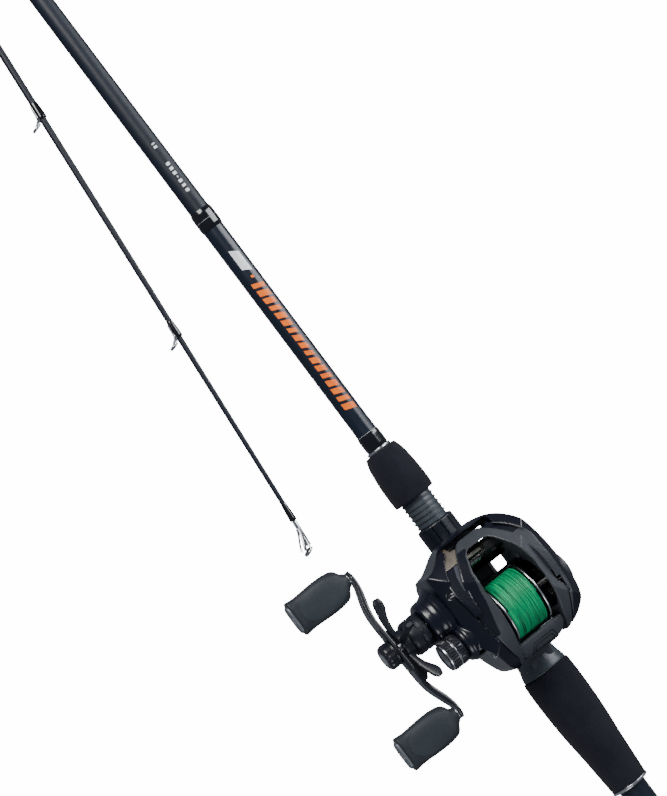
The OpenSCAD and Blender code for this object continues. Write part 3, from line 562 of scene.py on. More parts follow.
# thread wraps: fine turns of thread under a clear build of epoxy
def wrap(name, xa, xb, r0, e, node, body="rod", transform=None):
    n = max(8, int((xb - xa) / 0.35))
    pts = [(xa, r0 * 0.9), (xa, r0 + 0.05)]
    for i in range(n + 1):
        t = i / n
        swell = e * min(1, math.sin(min(t, 1 - t) * math.pi * 1.1) * 1.6 + 0.1) if e > 0 else 0
        pts.append((lerp(xa, xb, t), r0 + 0.05 + swell + (0.03 if i % 2 else 0)))
    pts.append((xb, r0 * 0.9))
    o = revolve(name, pts, M["wrap"], seg=72, transform=transform, sharp=60)
    put(o, body, [node])


wrap("wrap_handle", 104.7, 113.8, 5.98, 0.3, "thread_wraps")
wrap("wrap_join", 246.6, 258.5, 5.72, 0.52, "thread_wraps")
for k, (g, e) in enumerate([(530, 1.0), (800, 1.0)]):
    wrap(f"wrap_butt_{k}_back", g - 23, g - 8, blank_r(g - 16), e, "thread_wraps")
    wrap(f"wrap_butt_{k}_front", g + 8, g + 23, blank_r(g + 16), e, "thread_wraps")
wrap("wrap_ferrule", AHEAD - 32, AHEAD - 8, 4.42, 0.35, "thread_wraps")
for k, (xa, r) in enumerate([(113.8, 5.95), (252.3, 6.3), (AHEAD - 33, 4.5)]):
    band(f"pinstripe_{k}", xa, xa + 0.3, r - 0.4, r + 0.04, M["grey"])


# printed marks, generic shapes laid on the tube's surface
def patch(name, corners, mat, lift=0.035, nx=10, na=6, node=None):
    """corners: (x, arc mm from the top) of a four-sided mark, laid round the tube."""
    c = np.array(corners, float)
    verts, faces = [], []
    for layer in (0.0, -0.06):
        for i in range(nx + 1):
            for j in range(na + 1):
                s, t = i / nx, j / na
                p = (1 - s) * (1 - t) * c[0] + s * (1 - t) * c[1] + s * t * c[2] + (1 - s) * t * c[3]
                r = (blank_r(p[0]) if p[0] > 247 else 5.8) + lift + layer
                a = p[1] / r
                verts.append((p[0], r * math.sin(a), r * math.cos(a)))
    w = na + 1
    off = (nx + 1) * w
    for i in range(nx):
        for j in range(na):
            q = (i * w + j, (i + 1) * w + j, (i + 1) * w + j + 1, i * w + j + 1)
            faces.append(q)
            faces.append(tuple(off + v for v in reversed(q)))
    rim = [i * w for i in range(nx + 1)] + [nx * w + j for j in range(1, w)] + [i * w + na for i in range(nx - 1, -1, -1)] + [j for j in range(na - 1, 0, -1)]
    for a, b in zip(rim, rim[1:] + rim[:1]):
        faces.append((a, b, off + b, off + a))
    o = make(name, verts, faces, mat, 50)
    put(o, "rod", ())
    return o


# a run of slanted bars that narrows towards the middle, in place of the lettering
bars = 17
for i in range(bars):
    t = i / (bars - 1)
    xc = lerp(131.3, 209.1, t)
    h = 2.05 + 1.35 * abs(2 * t - 1) ** 1.2
    wx = (2.05, 1.55, 1.9)[i % 3]
    sl = 1.1
    patch(f"mark_bar_{i}", [(xc - wx - sl, 0.2 - h), (xc + wx * 0.75 - sl, 0.2 - h), (xc + wx * 0.75 + sl, 0.2 + h), (xc - wx + sl, 0.2 + h)], M["orange"])
patch("mark_block", [(217.3, -2.3), (229.3, -2.3), (232.1, 2.6), (220.1, 2.6)], M["white"])
patch("mark_dot", [(213.6, -0.7), (215.0, -0.7), (215.3, 0.9), (213.9, 0.9)], M["orange"])
for i, (xa, xb, h) in enumerate([(297.2, 298.6, 1.0), (299.6, 300.4, 0.8), (269.5, 271.3, 1.0), (272.6, 274.2, 1.0), (275.4, 277.2, 1.0), (278.3, 279.3, 0.35), (280.4, 282.2, 1.0), (283.3, 285, 1.0), (286.2, 288, 1.0)]):
    patch(f"mark_tick_{i}", [(xa, -h), (xb, -h), (xb, h), (xa, h)], M["white"], nx=3)

# ------------------------------------------------------------------ reel seat
seat_prof = [(-39.4, 8), (-39.55, 12.9), (-38.8, 13.0), (-36.8, 12.6), (-34.4, 11.9), (-32, 11.35), (-30, 11.2), (0, 11.2), (27.5, 11.2), (29.3, 10.6), (30.2, 9.0), (31, 8.7), (45, 8.6), (45, 8)]
seat = revolve("seat_barrel", rounded(seat_prof, 0.5, 3), M["seat"], seg=128)
trig = prism("trigger", spline([(-22, -8.6), (-4, -8.4), (12, -8.6), (9.5, -11.2), (4.5, -13.4), (1, -18), (-2.4, -24.6), (-6.6, -27), (-9.4, -25.2), (-9.2, -19.4), (-12.6, -13.2)], 8, True), -4.4, 4.4, "y")
cut = block("cut", (-30.8, -10, 9.05), (31, 10, 15))
boolean(seat, cut)
boolean(seat, trig, "UNION")
soften(seat, M["seat"], 0.45, 3)
put(seat, "rod", ["reel_seat"])


def thread(name, xa, xb, pitch, r_root, r_crest, mat, body, node):
    """A true helical ridge on the seat's front end."""
    seg = 72
    turns = (xb - xa) / pitch
    n = int(turns * seg)
    prof = [(-0.42 * pitch, r_root - 0.25), (-0.26 * pitch, r_root), (-0.14 * pitch, r_crest), (0.14 * pitch, r_crest), (0.26 * pitch, r_root), (0.42 * pitch, r_root - 0.25)]
    verts, faces = [], []
    for i in range(n + 1):
        a = 2 * math.pi * i / seg
        x = xa + pitch * i / seg
        fade = min(1, i / 18, (n - i) / 18)
        for dx, r in prof:
            r = lerp(r_root - 0.25, r, fade)
            verts.append((x + dx, r * math.sin(a), r * math.cos(a)))
    k = len(prof)
    for i in range(n):
        for j in range(k):
            l = (j + 1) % k
            faces.append((i * k + j, i * k + l, (i + 1) * k + l, (i + 1) * k + j))
    faces += [tuple(range(k)), tuple(n * k + j for j in range(k))]
    put(make(name, verts, faces, mat, 40), body, [node])


thread("seat_thread", 46.0, 75.2, 2.75, 8.2, 8.98, M["seat"], "rod", "reel_seat")
put(revolve("seat_thread_core", rounded([(44.8, 7.9), (44.8, 8.4), (76.3, 8.4), (76.3, 7.9)], 0.2, 2), M["seat"], seg=96), "rod", ["reel_seat"])

# lock nut: ribbed sleeve
nut_o = 10.6


def ribs(a, r, ang):
    if r < 9.9:
        return np.zeros_like(ang)
    fade = 1.0 if 45.4 < a < 55.2 else 0.15
    return -0.9 * fade * np.clip(np.cos(ang * 12) * 3.2 - 2.35, 0, 1)


put(revolve("seat_nut_sleeve", rounded([(44.0, 9.05), (44.0, 10.1), (44.6, 10.5), (45.3, 10.6), (46.2, 10.6), (51, 10.6), (54.6, 10.6), (55.5, 10.6), (56.1, 10.35), (56.5, 9.9), (56.5, 9.05)], 0.3, 3) + [(56.4, 9.02), (44.1, 9.02)], M["nut"], seg=288, bumps=ribs, loop=True, sharp=40), "seat_nut", ["seat_nut"])
hood = revolve("seat_hood_sleeve", rounded([(31.2, 9.05), (31.2, 12.0), (33, 12.7), (39.6, 12.7), (42, 12), (43.8, 10.8), (43.8, 9.05)], 0.6, 4) + [(43.7, 9.02), (31.3, 9.02)], M["nut"], seg=128, loop=True)
boolean(hood, block("hood_cut", (30, -8.6, 8), (40.6, 8.6, 11.5)))
finish_mesh(hood, M["nut"])
put(hood, "seat_hood", ["seat_hood"])

# ------------------------------------------------------------------ reel body
SIDE = spline([(-26, 11.4), (-28.4, 18), (-28.4, 26), (-25, 33.2), (-19, 39.5), (-10, 44.9), (0, 47.8), (10, 48.8), (20, 47.9), (30, 44.4), (38.6, 38.5), (44.2, 31.5), (47.2, 24), (47, 18), (44.3, 14.4), (36, 13.4), (27, 12.2), (10, 11.3), (-10, 11.3)], 6, True)
TOP = spline([(-28.3, -7), (-27.2, -13.5), (-25.3, -18.5), (-22, -23.5), (-17, -27.7), (-11, -30.6), (-5, -32.2), (0, -33.0), (11, -31.8), (22, -29.8), (32, -26.9), (39.5, -22.6), (44.6, -17.2), (47, -10), (47.4, 0), (47, 10), (44.8, 17), (41.4, 22.4), (39, 27), (38, 31.2), (36, 32.2), (24, 32.3), (8, 32.3), (-2, 32.1), (-7.4, 30.3), (-11, 28.3), (-18, 25.6), (-24.3, 22.6), (-27.3, 18.4), (-28.3, 12.5), (-28.5, 0)], 6, True)
FRONT = spline([(-17, 10.6), (-25, 12.4), (-31, 18), (-33.3, 25), (-33.3, 31), (-31, 37.8), (-25, 43.2), (-17, 46.9), (-8, 48.5), (0, 48.8), (8, 48.5), (17, 46.9), (24.6, 44.2), (29.8, 40.6), (32.1, 36), (32.3, 20), (32.2, 8), (30.6, 2.4), (26, 0.4), (20.6, 1.2), (18, 5), (17, 9), (10, 10.4), (-10, 10.4)], 6, True)


def body_form(name, extra=None):
    o = prism(name, SIDE, -40, 40, "y")
    if extra is not None:
        boolean(o, extra, "UNION")
    boolean(o, prism("t", TOP, -8, 60, "z"), "INTERSECT")
    boolean(o, prism("f", FRONT, -45, 60, "x"), "INTERSECT")
    return o


LOOP = spline([(43.3, 0), (42.9, 5.6), (40.4, 9.4), (34, 15), (26, 19.8), (16, 22.7), (5, 23.5), (-7, 22.3), (-17, 19.4), (-25, 16.2), (-30, 14.9), (-30, 0), (-30, -14.9), (-25, -17.6), (-17, -20.6), (-7, -23.2), (5, -24.2), (16, -23.4), (26, -20.2), (34, -15.2), (40.4, -9.4), (42.9, -5.6)], 6, True)
MOUTH = [(37.2, 0), (37.2, 5.4), (35.2, 8.2), (27, 12.0), (16, 13.4), (4, 13.1), (-8, 13.3), (-16, 13.9), (-32, 14.6), (-32, -14.7), (-16, -14.9), (-8, -16.2), (4, -17.2), (14, -17), (25, -14), (35.2, -8.2), (37.2, -5.4)]
MOUTH = np.array(rounded(MOUTH, 1.6, 4, True))
CHANNEL_P = spline([(44.9, 1.5), (44.5, 8), (42.6, 14.6), (38.6, 20), (32, 23.4), (24.6, 25), (20.8, 24.6), (24, 21.9), (32, 17.6), (38, 13), (41.6, 9.6), (43.6, 6)], 6, True)

BAND_IN = spline([(45.1, 0), (44.9, 6), (43.1, 12.5), (39.6, 18), (34.2, 22.3), (27.5, 25), (20, 25.6), (13, 24.6), (4, 23.9), (-7, 22.7), (-17, 19.8), (-25, 16.6), (-31, 15.2), (-31, 0), (-31, -15.2), (-25, -18), (-17, -21), (-7, -23.6), (5, -24.6), (16, -24.2), (24, -24.2), (31, -21.6), (37.6, -16.6), (42.2, -11), (44.6, -5.5)], 6, True)

GUIDE_ROOM = [(24.8, 14.2), (24.8, 21.6), (27.7, 28.4), (28.3, 36.3), (30.4, 38.85), (34.8, 38.85), (36.8, 37.2), (36.8, 14.2)]
base = body_form("base")
# inner rib and the two walls, satin
rib = copy(base, "reel_frame_skin")
boolean(rib, prism("l", LOOP, 24, 60, "z"), "INTERSECT")
boolean(rib, prism("m", MOUTH, 10, 60, "z"))
# undercut, so that the rib is a band 5 mm deep that the walls carry
boolean(rib, block("u", (33, -40, 0), (60, 40, 33.5)))
boolean(rib, rod_y("sp", 0, SZ, 15.2, -40, -13))
boolean(rib, rod_y("sp2", 4, SZ - 3, 16.0, 15.0, 40))
boolean(rib, rod_y("sp5", DX, DZ, 18.7, 16.9, 40))
lower = copy(base, "lower_frame")
boolean(lower, block("a", (-60, -16.9, 0), (70, 16.9, 24.2)), "INTERSECT")
boolean(lower, block("b", (-60, -14.7, 12.4), (70, 14.7, 60)))
boolean(lower, block("c", (17, -8.6, 5), (30, 8.6, 12.6)))
boolean(lower, block("c2", (17, -14.7, 5), (42, 14.7, 14)))
fb_ = copy(base, "lf")
boolean(fb_, block("d", (44.7, -16.9, 10), (60, 16.9, 18.5)), "INTERSECT")
boolean(lower, fb_, "UNION")
rb_ = copy(base, "lr")
boolean(rb_, block("e", (-40, -16.9, 10), (-23.6, 16.9, 17.8)), "INTERSECT")
boolean(lower, rb_, "UNION")
boolean(lower, rod_y("sp3", 0, SZ, 17.9, -40, -13))
boolean(rib, lower, "UNION")
walls = copy(base, "walls")
boolean(walls, block("g", (-60, -16.9, 12), (36, 16.9, 34)), "INTERSECT")
boolean(walls, block("h", (-60, -14.75, 10), (60, 14.75, 60)))
boolean(walls, rod_y("sp4", 0, SZ, 17.9, -40, -13))
boolean(walls, block("i", (-27, 12, 18), (-19, 18, 31)))
boolean(rib, walls, "UNION")
boolean(rib, block("foot", (-33.6, -7, 9.15), (39.8, 7, 11.0)), "UNION")
# the way the line guide travels
boolean(rib, prism("lg", GUIDE_ROOM, -13.5, 13.5, "y"))
soften(rib, M["satin"], 0.4, 5)
edge_x = (-32, -16, -8, 4, 16, 27, 35.2, 37.2)
edge_y = (14.6, 13.9, 13.3, 13.1, 13.4, 12.0, 8.2, 5.4)


def dark_band(x, y, z, n):
    w = np.interp(x, (-12, 0, 12, 24, 33, 38), (7.5, 5.5, 2.6, 1.5, 1.1, 0.9))
    return -6 < x < 38.5 and y > np.interp(x, edge_x, edge_y) + w and z > 34 and n[2] > 0.5


two_tone(rib, M["gloss"], dark_band)
put(rib, "rod", ["reel_frame"])

# outer shells, gloss
LOOP_OUT = BAND_IN
outer = copy(base, "outer")
boolean(outer, prism("lo", BAND_IN, 20, 60, "z"))
lowered = copy(outer, "nose_skin")
boolean(lowered, block("n1", (30, -18.4, 10), (60, 18.4, 60)), "INTERSECT")
boolean(lowered, block("n2", (20, -14.8, 22.8), (44.9, 14.8, 36)))
boolean(lowered, block("n3", (20, -14.8, 10), (41.6, 14.8, 36)))
soften(lowered, M["gloss"], 0.36, 6)
put(lowered, "rod", ["reel_frame"])
# dark floor of the groove between the frame's rim and the outer shells
groove = prism("groove_floor", [(9 + (p[0] - 9) * 0.945, 27 + (p[1] - 27) * 0.93) for p in SIDE], -27, 27, "y")
boolean(groove, prism("go", [(p[0] + (0.8 if p[0] > 0 else -0.8), p[1] * 1.05) for p in BAND_IN], 24, 60, "z"), "INTERSECT")
boolean(groove, prism("gi", [(9 + (p[0] - 9) * 0.93, p[1] * 0.9) for p in LOOP], 10, 60, "z"))
boolean(groove, block("gf", (41, -12, 10), (60, 12, 60)))
boolean(groove, block("gr", (-60, -5, 10), (8, 40, 60)))
boolean(groove, block("gs", (-60, -40, 10), (-18, 0, 60)))
boolean(groove, rod_y("gt", 0, SZ, 15.8, -40, -13))
boolean(groove, rod_y("gd", DX, DZ, 18.7, 16.9, 40))
boolean(groove, prism("lg2", GUIDE_ROOM, -13.5, 13.5, "y"))
# the gold strip cut from the groove near the nose is a painted reflection on the glossy channel
glint = copy(groove, "groove_glint")
boolean(glint, block("gg", (34.6, 9, 10), (44.6, 21.4, 60)), "INTERSECT")
boolean(groove, block("gh", (34.6, 9, 10), (44.6, 21.4, 60)))
soften(groove, M["gloss"], 0.4, 5)
two_tone(groove, M["satin"], lambda x, y, z, n: y < 0 and x < 30)
loop_x = [q[0] for q in LOOP if q[1] > 0 and 6 < q[0] < 42]
loop_y = [q[1] for q in LOOP if q[1] > 0 and 6 < q[0] < 42]
order = np.argsort(loop_x)
loop_x, loop_y = np.array(loop_x)[order], np.array(loop_y)[order]
# painted light: the lighter satin on the up-facing strip along the rib's outer edge by the groove
two_tone(groove, M["flank"], lambda x, y, z, n: 22 < x < 40 and n[2] > 0.5 and 0 < y < np.interp(x, loop_x, loop_y) + np.interp(x, (22, 28, 34, 40), (0.1, 1.4, 2.2, 2.4)))
soften(glint, M["champagne"], 0.4, 5)
put(groove, "rod", ["reel_frame"])
put(glint, "rod", ["reel_frame"])

# dark lining behind the seams between the nose and the two side plates
seam = prism("seam_lining", [(9 + (p[0] - 9) * 0.972, 27 + (p[1] - 27) * 0.962) for p in SIDE], -19, 19, "y")
boolean(seam, prism("sa", [(9 + (p[0] - 9) * 0.968, p[1] * 0.965) for p in TOP], -8, 60, "z"), "INTERSECT")
boolean(seam, prism("sb", [(p[0] * 0.97, 24 + (p[1] - 24) * 0.965) for p in FRONT], -45, 60, "x"), "INTERSECT")
boolean(seam, prism("sc", BAND_IN, 20, 60, "z"))
boolean(seam, block("sd", (-60, -40, -10), (28.5, 40, 60)))
boolean(seam, block("se", (20, -15.6, -10), (60, 15.6, 60)))
boolean(seam, block("sf", (20, -40, -10), (60, 40, 17)))
boolean(seam, rod_y("sg", DX, DZ, 19.5, 10, 40))
soften(seam, M["gloss"], 0.4, 3)
put(seam, "rod", ["reel_frame"])

palm = copy(outer, "palm_plate_skin")
boolean(palm, block("p1", (-60, -60, 0), (70, -17.25, 60)), "INTERSECT")
boolean(palm, rod_y("p2", 0, SZ, 17.6, -24.2, -10))
boolean(palm, rod_y("p4", 0, SZ, 9.2, -40, -28.2))
soften(palm, M["gloss"], 0.4, 5)
in_x = [q[0] for q in BAND_IN if q[1] < -10 and -31 < q[0] < 42]
in_y = [q[1] for q in BAND_IN if q[1] < -10 and -31 < q[0] < 42]
order = np.argsort(in_x)
in_x, in_y = np.array(in_x)[order], np.array(in_y)[order]
two_tone(palm, M["satin"], lambda x, y, z, n: -20 < x < 33 and y > np.interp(x, in_x, in_y) - np.interp(x, (-20, -8, 8, 22, 33), (0.4, 2.6, 2.8, 1.8, 0.3)) and z > 30 and n[2] > 0.35)
put(palm, "rod", ["palm_plate"])

gear = body_form("gear_plate_skin", rod_y("gc", DX, DZ, 20.2, -40, 40))
boolean(gear, prism("gl", BAND_IN, 20, 60, "z"))
boolean(gear, block("g1", (-60, 17.2, -8), (70, 60, 60)), "INTERSECT")
boss = revolve("boss", rounded([(29, 0), (29, 17.2), (32.0, 17.2), (33.0, 16.4), (34.4, 15.1), (35.4, 14.7), (36.0, 14.0), (38.2, 13.3), (39.0, 13.4), (41.8, 13.0), (43.0, 12.2), (43.0, 0)], 0.5, 3), None, "y", 128, (DX, 0, DZ))
boolean(gear, boss, "UNION")
b2 = revolve("boss2", rounded([(29, 0), (29, 10.8), (33.4, 10.8), (34.2, 9.9), (35.4, 9.6), (36.0, 8.8), (36.1, 5.9), (42.0, 5.9), (42.0, 0)], 0.4, 3), None, "y", 96, (0, 0, SZ))
boolean(gear, b2, "UNION")
knob_room = revolve("knob_room", [(36.1, 5.95), (36.1, 8.6), (45, 8.6), (45, 5.95)], None, "y", 96, (0, 0, SZ), loop=True)
boolean(gear, knob_room)
boolean(gear, rod_y("g2", DX, DZ, 18.4, 10, 27.0))
boolean(gear, rod_y("g2b", DX, DZ, 13.0, 10, 30.9))
boolean(gear, rod_y("g3", 0, SZ, 5.2, 10, 34.6))
boolean(gear, rod_y("g4", DX, DZ, 8.06, 20, 42.1))
boolean(gear, rod_y("g5", DX, DZ, 5.4, 20, 50))
boolean(gear, rod_y("g6", 0, SZ, 2, 20, 50))
boolean(gear, block("g7", (-9, 10, 21), (3, 31.7, 39)))
boolean(gear, block("g9", (-25.4, 10, 20.0), (-8, 20.2, 29)))
boolean(gear, rod_y("g8", DX + 11.7, DZ + 1.1, 6.2, 10, 24))
for sx, sz in ((24, 42.2), (-14, 38)):
    boolean(gear, rod_y("scr", sx, sz, 1.9, 26.5, 40, 32))
soften(gear, M["gloss"], 0.4, 4)
put(gear, "rod", ["gear_side_plate"])
bpy.data.objects.remove(outer, do_unlink=True)
bpy.data.objects.remove(base, do_unlink=True)

# ------------------------------------------------------------------ spool and its line
f = 17.0
for sgn, off in ((-1, 0.0), (1, 1.4)):
    name = "palm" if sgn < 0 else "gear"
    prof = rounded([(sgn * 8.7 + off, 7), (sgn * 9.1 + off, f - 1.2), (sgn * 9.35 + off, f - 0.1), (sgn * 10.1 + off, f), (sgn * 10.6 + off, f - 0.9), (sgn * 10.2 + off, 5), (sgn * 12 + off, 4), (sgn * 12 + off, 1.6)], 0.3, 3)
    put(revolve("spool_flange_" + name, prof, M["spool"], "y", 128, (0, 0, SZ)), "spool", ["spool"])
    ring = rounded([(sgn * 9.3 + off, f - 0.7), (sgn * 9.5 + off, f + 0.05), (sgn * 10.2 + off, f + 0.12), (sgn * 10.72 + off, f - 0.75), (sgn * 10.0 + off, f - 0.9)], 0.25, 3)
    put(revolve("spool_rim_" + name, ring, M["silver"], "y", 160, (0, 0, SZ)), "spool", ["spool"])
put(revolve("spool_drum", [(-8.8, 1.6), (-8.8, 7), (10.2, 7), (10.2, 1.6)], M["spool"], "y", 64, (0, 0, SZ)), "spool", ["spool"])

# the wound braid: a core and the outer layers of turns as one strand laid side by side
# the core's darker green is painted shade, seen in the gaps between the turns
core = revolve("line_core", rounded([(-8.85, 7.2), (-8.85, 15.4), (-8.2, 15.55), (9.6, 15.55), (10.25, 15.4), (10.25, 7.2)], 0.3, 3), M["braid_core_painted_shade"], "y", 128, (0, 0, SZ))
put(core, "spool", ["braided_line"])


def winding(name, y_from, y_to, turns, r, thick, wob, seed):
    g = np.random.default_rng(seed)
    per = 72
    n = int(turns * per)
    t = np.linspace(0, 1, n + 1)
    jitter = np.interp(t * turns, np.arange(int(turns) + 2), g.normal(0, wob, int(turns) + 2))
    rj = np.interp(t * turns, np.arange(int(turns) + 2), g.uniform(-0.09, 0.09, int(turns) + 2))
    a = 2 * math.pi * turns * t
    y = lerp(y_from, y_to, t) + jitter
    rr = r + rj
    path = np.stack([rr * np.sin(a), y, rr * np.cos(a) + SZ], 1)
    return sweep(name, path, thick, M["braid"], seg=7, sharp=80)


put(winding("line_turns", -8.5, 9.9, 25, 15.72, 0.39, 0.035, 1), "spool", ["braided_line"])

# ------------------------------------------------------------------ thumb bar
tb = spline([(-17.3, 36.3), (-18.4, 37.2), (-20.6, 36.4), (-23.2, 34.4), (-25.5, 31.3), (-27.3, 27.2), (-27.2, 24.4), (-25.6, 23.6), (-24.2, 25.6), (-21.4, 29.2), (-18.4, 32.6), (-17.2, 34.6)], 6, True)
bar = prism("thumb_bar_skin", tb, -14.25, 14.25, "y")
plan = [(-17.0, -14.3), (-17.0, 14.3), (-21.0, 14.3), (-24.6, 12.2), (-27.5, 8.4), (-27.9, 0), (-27.5, -8.4), (-24.6, -12.2), (-21.0, -14.3)]
boolean(bar, prism("plan", np.array(rounded(plan, 3, 5, True)), 10, 50, "z"), "INTERSECT")
soften(bar, M["bar"], 0.28, 4)
# nested outline pressed into the pad, in place of the printed mark
bar.modifiers.clear()
put(bar, "thumb_bar", ["thumb_bar"])


def on_bar(y, s, lift=0.0):
    """A point on the pad's top: s runs from the front edge back."""
    p = np.array([[-18.6, 37.0], [-20.8, 36.1], [-23.3, 34.1], [-25.5, 31.1], [-27.1, 27.4]])
    t = s * (len(p) - 1)
    i = min(int(t), len(p) - 2)
    q = p[i] * (1 - (t - i)) + p[i + 1] * (t - i)
    d = p[i + 1] - p[i]
    nrm = np.array([-d[1], d[0]])
    nrm = nrm / np.linalg.norm(nrm)
    if nrm[1] < 0:
        nrm = -nrm
    return (q[0] + nrm[0] * lift, y, q[1] + nrm[1] * lift)


for k, (w1, w2, s1, s2) in enumerate([(8.6, 6.0, 0.86, 0.3), (6.6, 4.9, 0.76, 0.46)]):
    corners = [(-w1, s1), (w1, s1), (w2, s2), (-w2, s2)]
    path = []
    for (ya, sa), (yb, sb) in zip(corners, corners[1:] + corners[:1]):
        for j in range(10):
            t = j / 10
            path.append(on_bar(lerp(ya, yb, t), lerp(sa, sb, t), 0.12))
    put(sweep(f"thumb_ridge_{k}", spline(path, 2, True), 0.3, M["dark"], seg=8, closed=True), "thumb_bar", ["thumb_bar"])

# a thin silver strip at the bar's front edge: a painted highlight
put(sweep("thumb_bar_painted_glint", spline([(-17.05, -9.5, 36.35), (-16.95, -5.5, 36.45), (-17.05, -1.5, 36.35)], 6), 0.28, M["silver"], seg=10), "thumb_bar", ())

# ------------------------------------------------------------------ handle
def shift_rings(path, sizes, e, n=None):
    """Rings in the XZ direction across a path that runs in the plane of (x, y)."""
    p = spline(path, 8)
    k = len(p)
    t = np.gradient(p, axis=0)
    t /= np.linalg.norm(t, axis=1)[:, None]
    s = np.array([np.interp(np.linspace(0, 1, k), np.linspace(0, 1, len(sizes)), [q[i] for q in sizes]) for i in range(2)]).T
    rings = []
    for i in range(k):
        n2 = np.array([-t[i][1], t[i][0]])
        sr = super_ring(s[i][0], s[i][1], e, 28)
        rings.append(np.stack([p[i][0] + n2[0] * sr[:, 1], p[i][1] + n2[1] * sr[:, 1], sr[:, 0]], 1))
    return rings


arm_path = [(-47.1, 56.5), (-43, 56.55), (-38.4, 56.9), (-34, 58.1), (-29, 59.8), (-24, 61.2), (-18, 61.95), (-8, 62.0), (0, 62.0), (8, 62.0), (18, 61.95), (24, 61.2), (29, 59.8), (34, 58.1), (38.4, 56.9), (43, 56.55), (47.1, 56.5)]
arm_sizes = [(1.6, 0.8), (3.9, 1.3), (3.9, 1.45), (3.9, 1.8), (3.9, 1.9), (4.1, 1.8), (4.4, 1.5), (5.2, 1.45), (5.8, 1.45), (5.2, 1.45), (4.4, 1.5), (4.1, 1.8), (3.9, 1.9), (3.9, 1.8), (3.9, 1.45), (3.9, 1.3), (1.6, 0.8)]
arm = loft("handle_arm_skin", shift_rings(arm_path, arm_sizes, 3.6), M["arm"], transform=T_CRANK, sharp=50)
# painted highlight: the lighter finish on the arm's outward-facing (+y) faces away from the hub
two_tone(arm, M["arm_painted_highlight"], lambda x, y, z, n: n[1] > 0.8 and 14 < math.hypot(x - DX, z - DZ) < 43)
put(arm, "crank", ["handle_arm"])
nutp = rounded([(63.5, 3.05), (63.5, 7.1), (64.3, 7.1), (64.5, 6.7), (65.0, 6.7), (65.2, 7.15), (68.3, 7.15), (69.4, 6.5), (70.1, 5.6), (70.1, 0)], 0.35, 4)


def nut_flats(a, r, ang):
    return -0.35 * np.clip(np.cos(ang * 8), 0, 1) if 65.2 < a < 69.2 and r > 6 else np.zeros_like(ang)


put(revolve("handle_nut_cap", nutp, M["arm"], "y", 128, transform=T_CRANK, bumps=nut_flats), "crank", ["handle_nut"])
put(revolve("handle_nut_face", rounded([(69.9, 3.6), (70.18, 3.4), (70.18, 0)], 0.1, 2), M["silver"], "y", 64, transform=T_CRANK), "crank", ["handle_nut"])


def knob(name, s, body, node, capnode):
    tr = T_CRANK @ Matrix.Translation((43.8 * s, 0, 0)) @ Matrix.Rotation(rad(-9), 4, "Y")
    rows = [(58.7, 3.0, 2.6, 2.2), (59.0, 4.0, 3.5, 2.2), (60.2, 4.7, 4.0, 2.2), (61.2, 6.0, 4.4, 2.4), (62.2, 7.6, 4.9, 2.6), (64, 8.9, 5.4, 2.9), (67, 9.6, 5.8, 3.2), (71, 9.95, 6.0, 3.4), (76, 9.95, 5.95, 3.4), (81, 9.7, 5.7, 3.4),
            (85, 9.5, 5.3, 3.4), (88, 9.5, 5.1, 3.4), (90.5, 9.75, 5.2, 3.4), (92.0, 9.9, 5.3, 3.4), (92.6, 9.3, 4.9, 3.2), (92.8, 8.2, 4.2, 2.8)]
    p = spline([(r[0], r[1], r[2], r[3]) for r in rows], 4)
    rings = []
    for y, a, b, e in p:
        q = super_ring(a, b, e, 64)
        rings.append(np.stack([q[:, 0], np.full(64, y), q[:, 1]], 1))
    o = loft(name + "_grip", rings, M["knob"], transform=tr, sharp=60)
    put(o, body, [node])
    ys = np.array([r_[0] for r_ in p])
    for sg in (1, -1):
        # lighter pads on the top and the underside: painted light, brighter in the middle of the flat faces than at
        # their borders
        verts, faces = [], []
        nu, nv = 18, 30
        for layer in (0.10, -0.25):
            for i in range(nv + 1):
                y = lerp(63.4, 89.4, i / nv)
                a = np.interp(y, ys, [r_[1] for r_ in p])
                b = np.interp(y, ys, [r_[2] for r_ in p])
                e = np.interp(y, ys, [r_[3] for r_ in p])
                t = (y - 63.4) / 26.0
                w = 0.8 * a * max(0.0, 1 - abs(2 * t - 1) ** 3.2 * (1.0 if t > 0.5 else 0.62)) ** 0.5 + 0.02
                for j in range(nu + 1):
                    x = lerp(-w, w, j / nu)
                    z = b * (1 - abs(x / a) ** e) ** (1 / e)
                    verts.append((x, y, sg * (z + layer)))
        row = nu + 1
        off = (nv + 1) * row
        for i in range(nv):
            for j in range(nu):
                q = (i * row + j, (i + 1) * row + j, (i + 1) * row + j + 1, i * row + j + 1)
                faces += [q, tuple(off + v for v in reversed(q))]
        edge = [i * row for i in range(nv + 1)] + [nv * row + j for j in range(1, row)] + [i * row + nu for i in range(nv - 1, -1, -1)] + [j for j in range(nu - 1, 0, -1)]
        for u, v in zip(edge, edge[1:] + edge[:1]):
            faces.append((u, v, off + v, off + u))
        put(make(f"{name}_pad_{'top' if sg > 0 else 'under'}", verts, faces, M["knob_pad_painted_light"], 35, transform=tr), body, [node])
    q = [super_ring(a, b, 3.0, 64) for a, b in ((7.4, 3.6), (7.8, 4.2), (7.9, 4.3), (7.5, 4.0), (6.4, 3.2))]
    yy = (92.5, 92.75, 93.4, 93.85, 94.0)
    cap = loft(name + "_end", [np.stack([k2[:, 0], np.full(64, h), k2[:, 1]], 1) for k2, h in zip(q, yy)], M["knob_end"], transform=tr, sharp=50)
    put(cap, body, [capnode])
    put(revolve(name + "_screw", rounded([(93.8, 2.6), (94.25, 2.4), (94.3, 0)], 0.15, 3), M["steel"], "y", 48, transform=tr), body, [capnode])
    col = revolve(name + "_collar", rounded([(57.9, 2.3), (57.9, 3.4), (58.6, 3.4), (58.6, 2.3)], 0.15, 3), M["silver"], "y", 48, transform=tr)
    put(col, body, ())


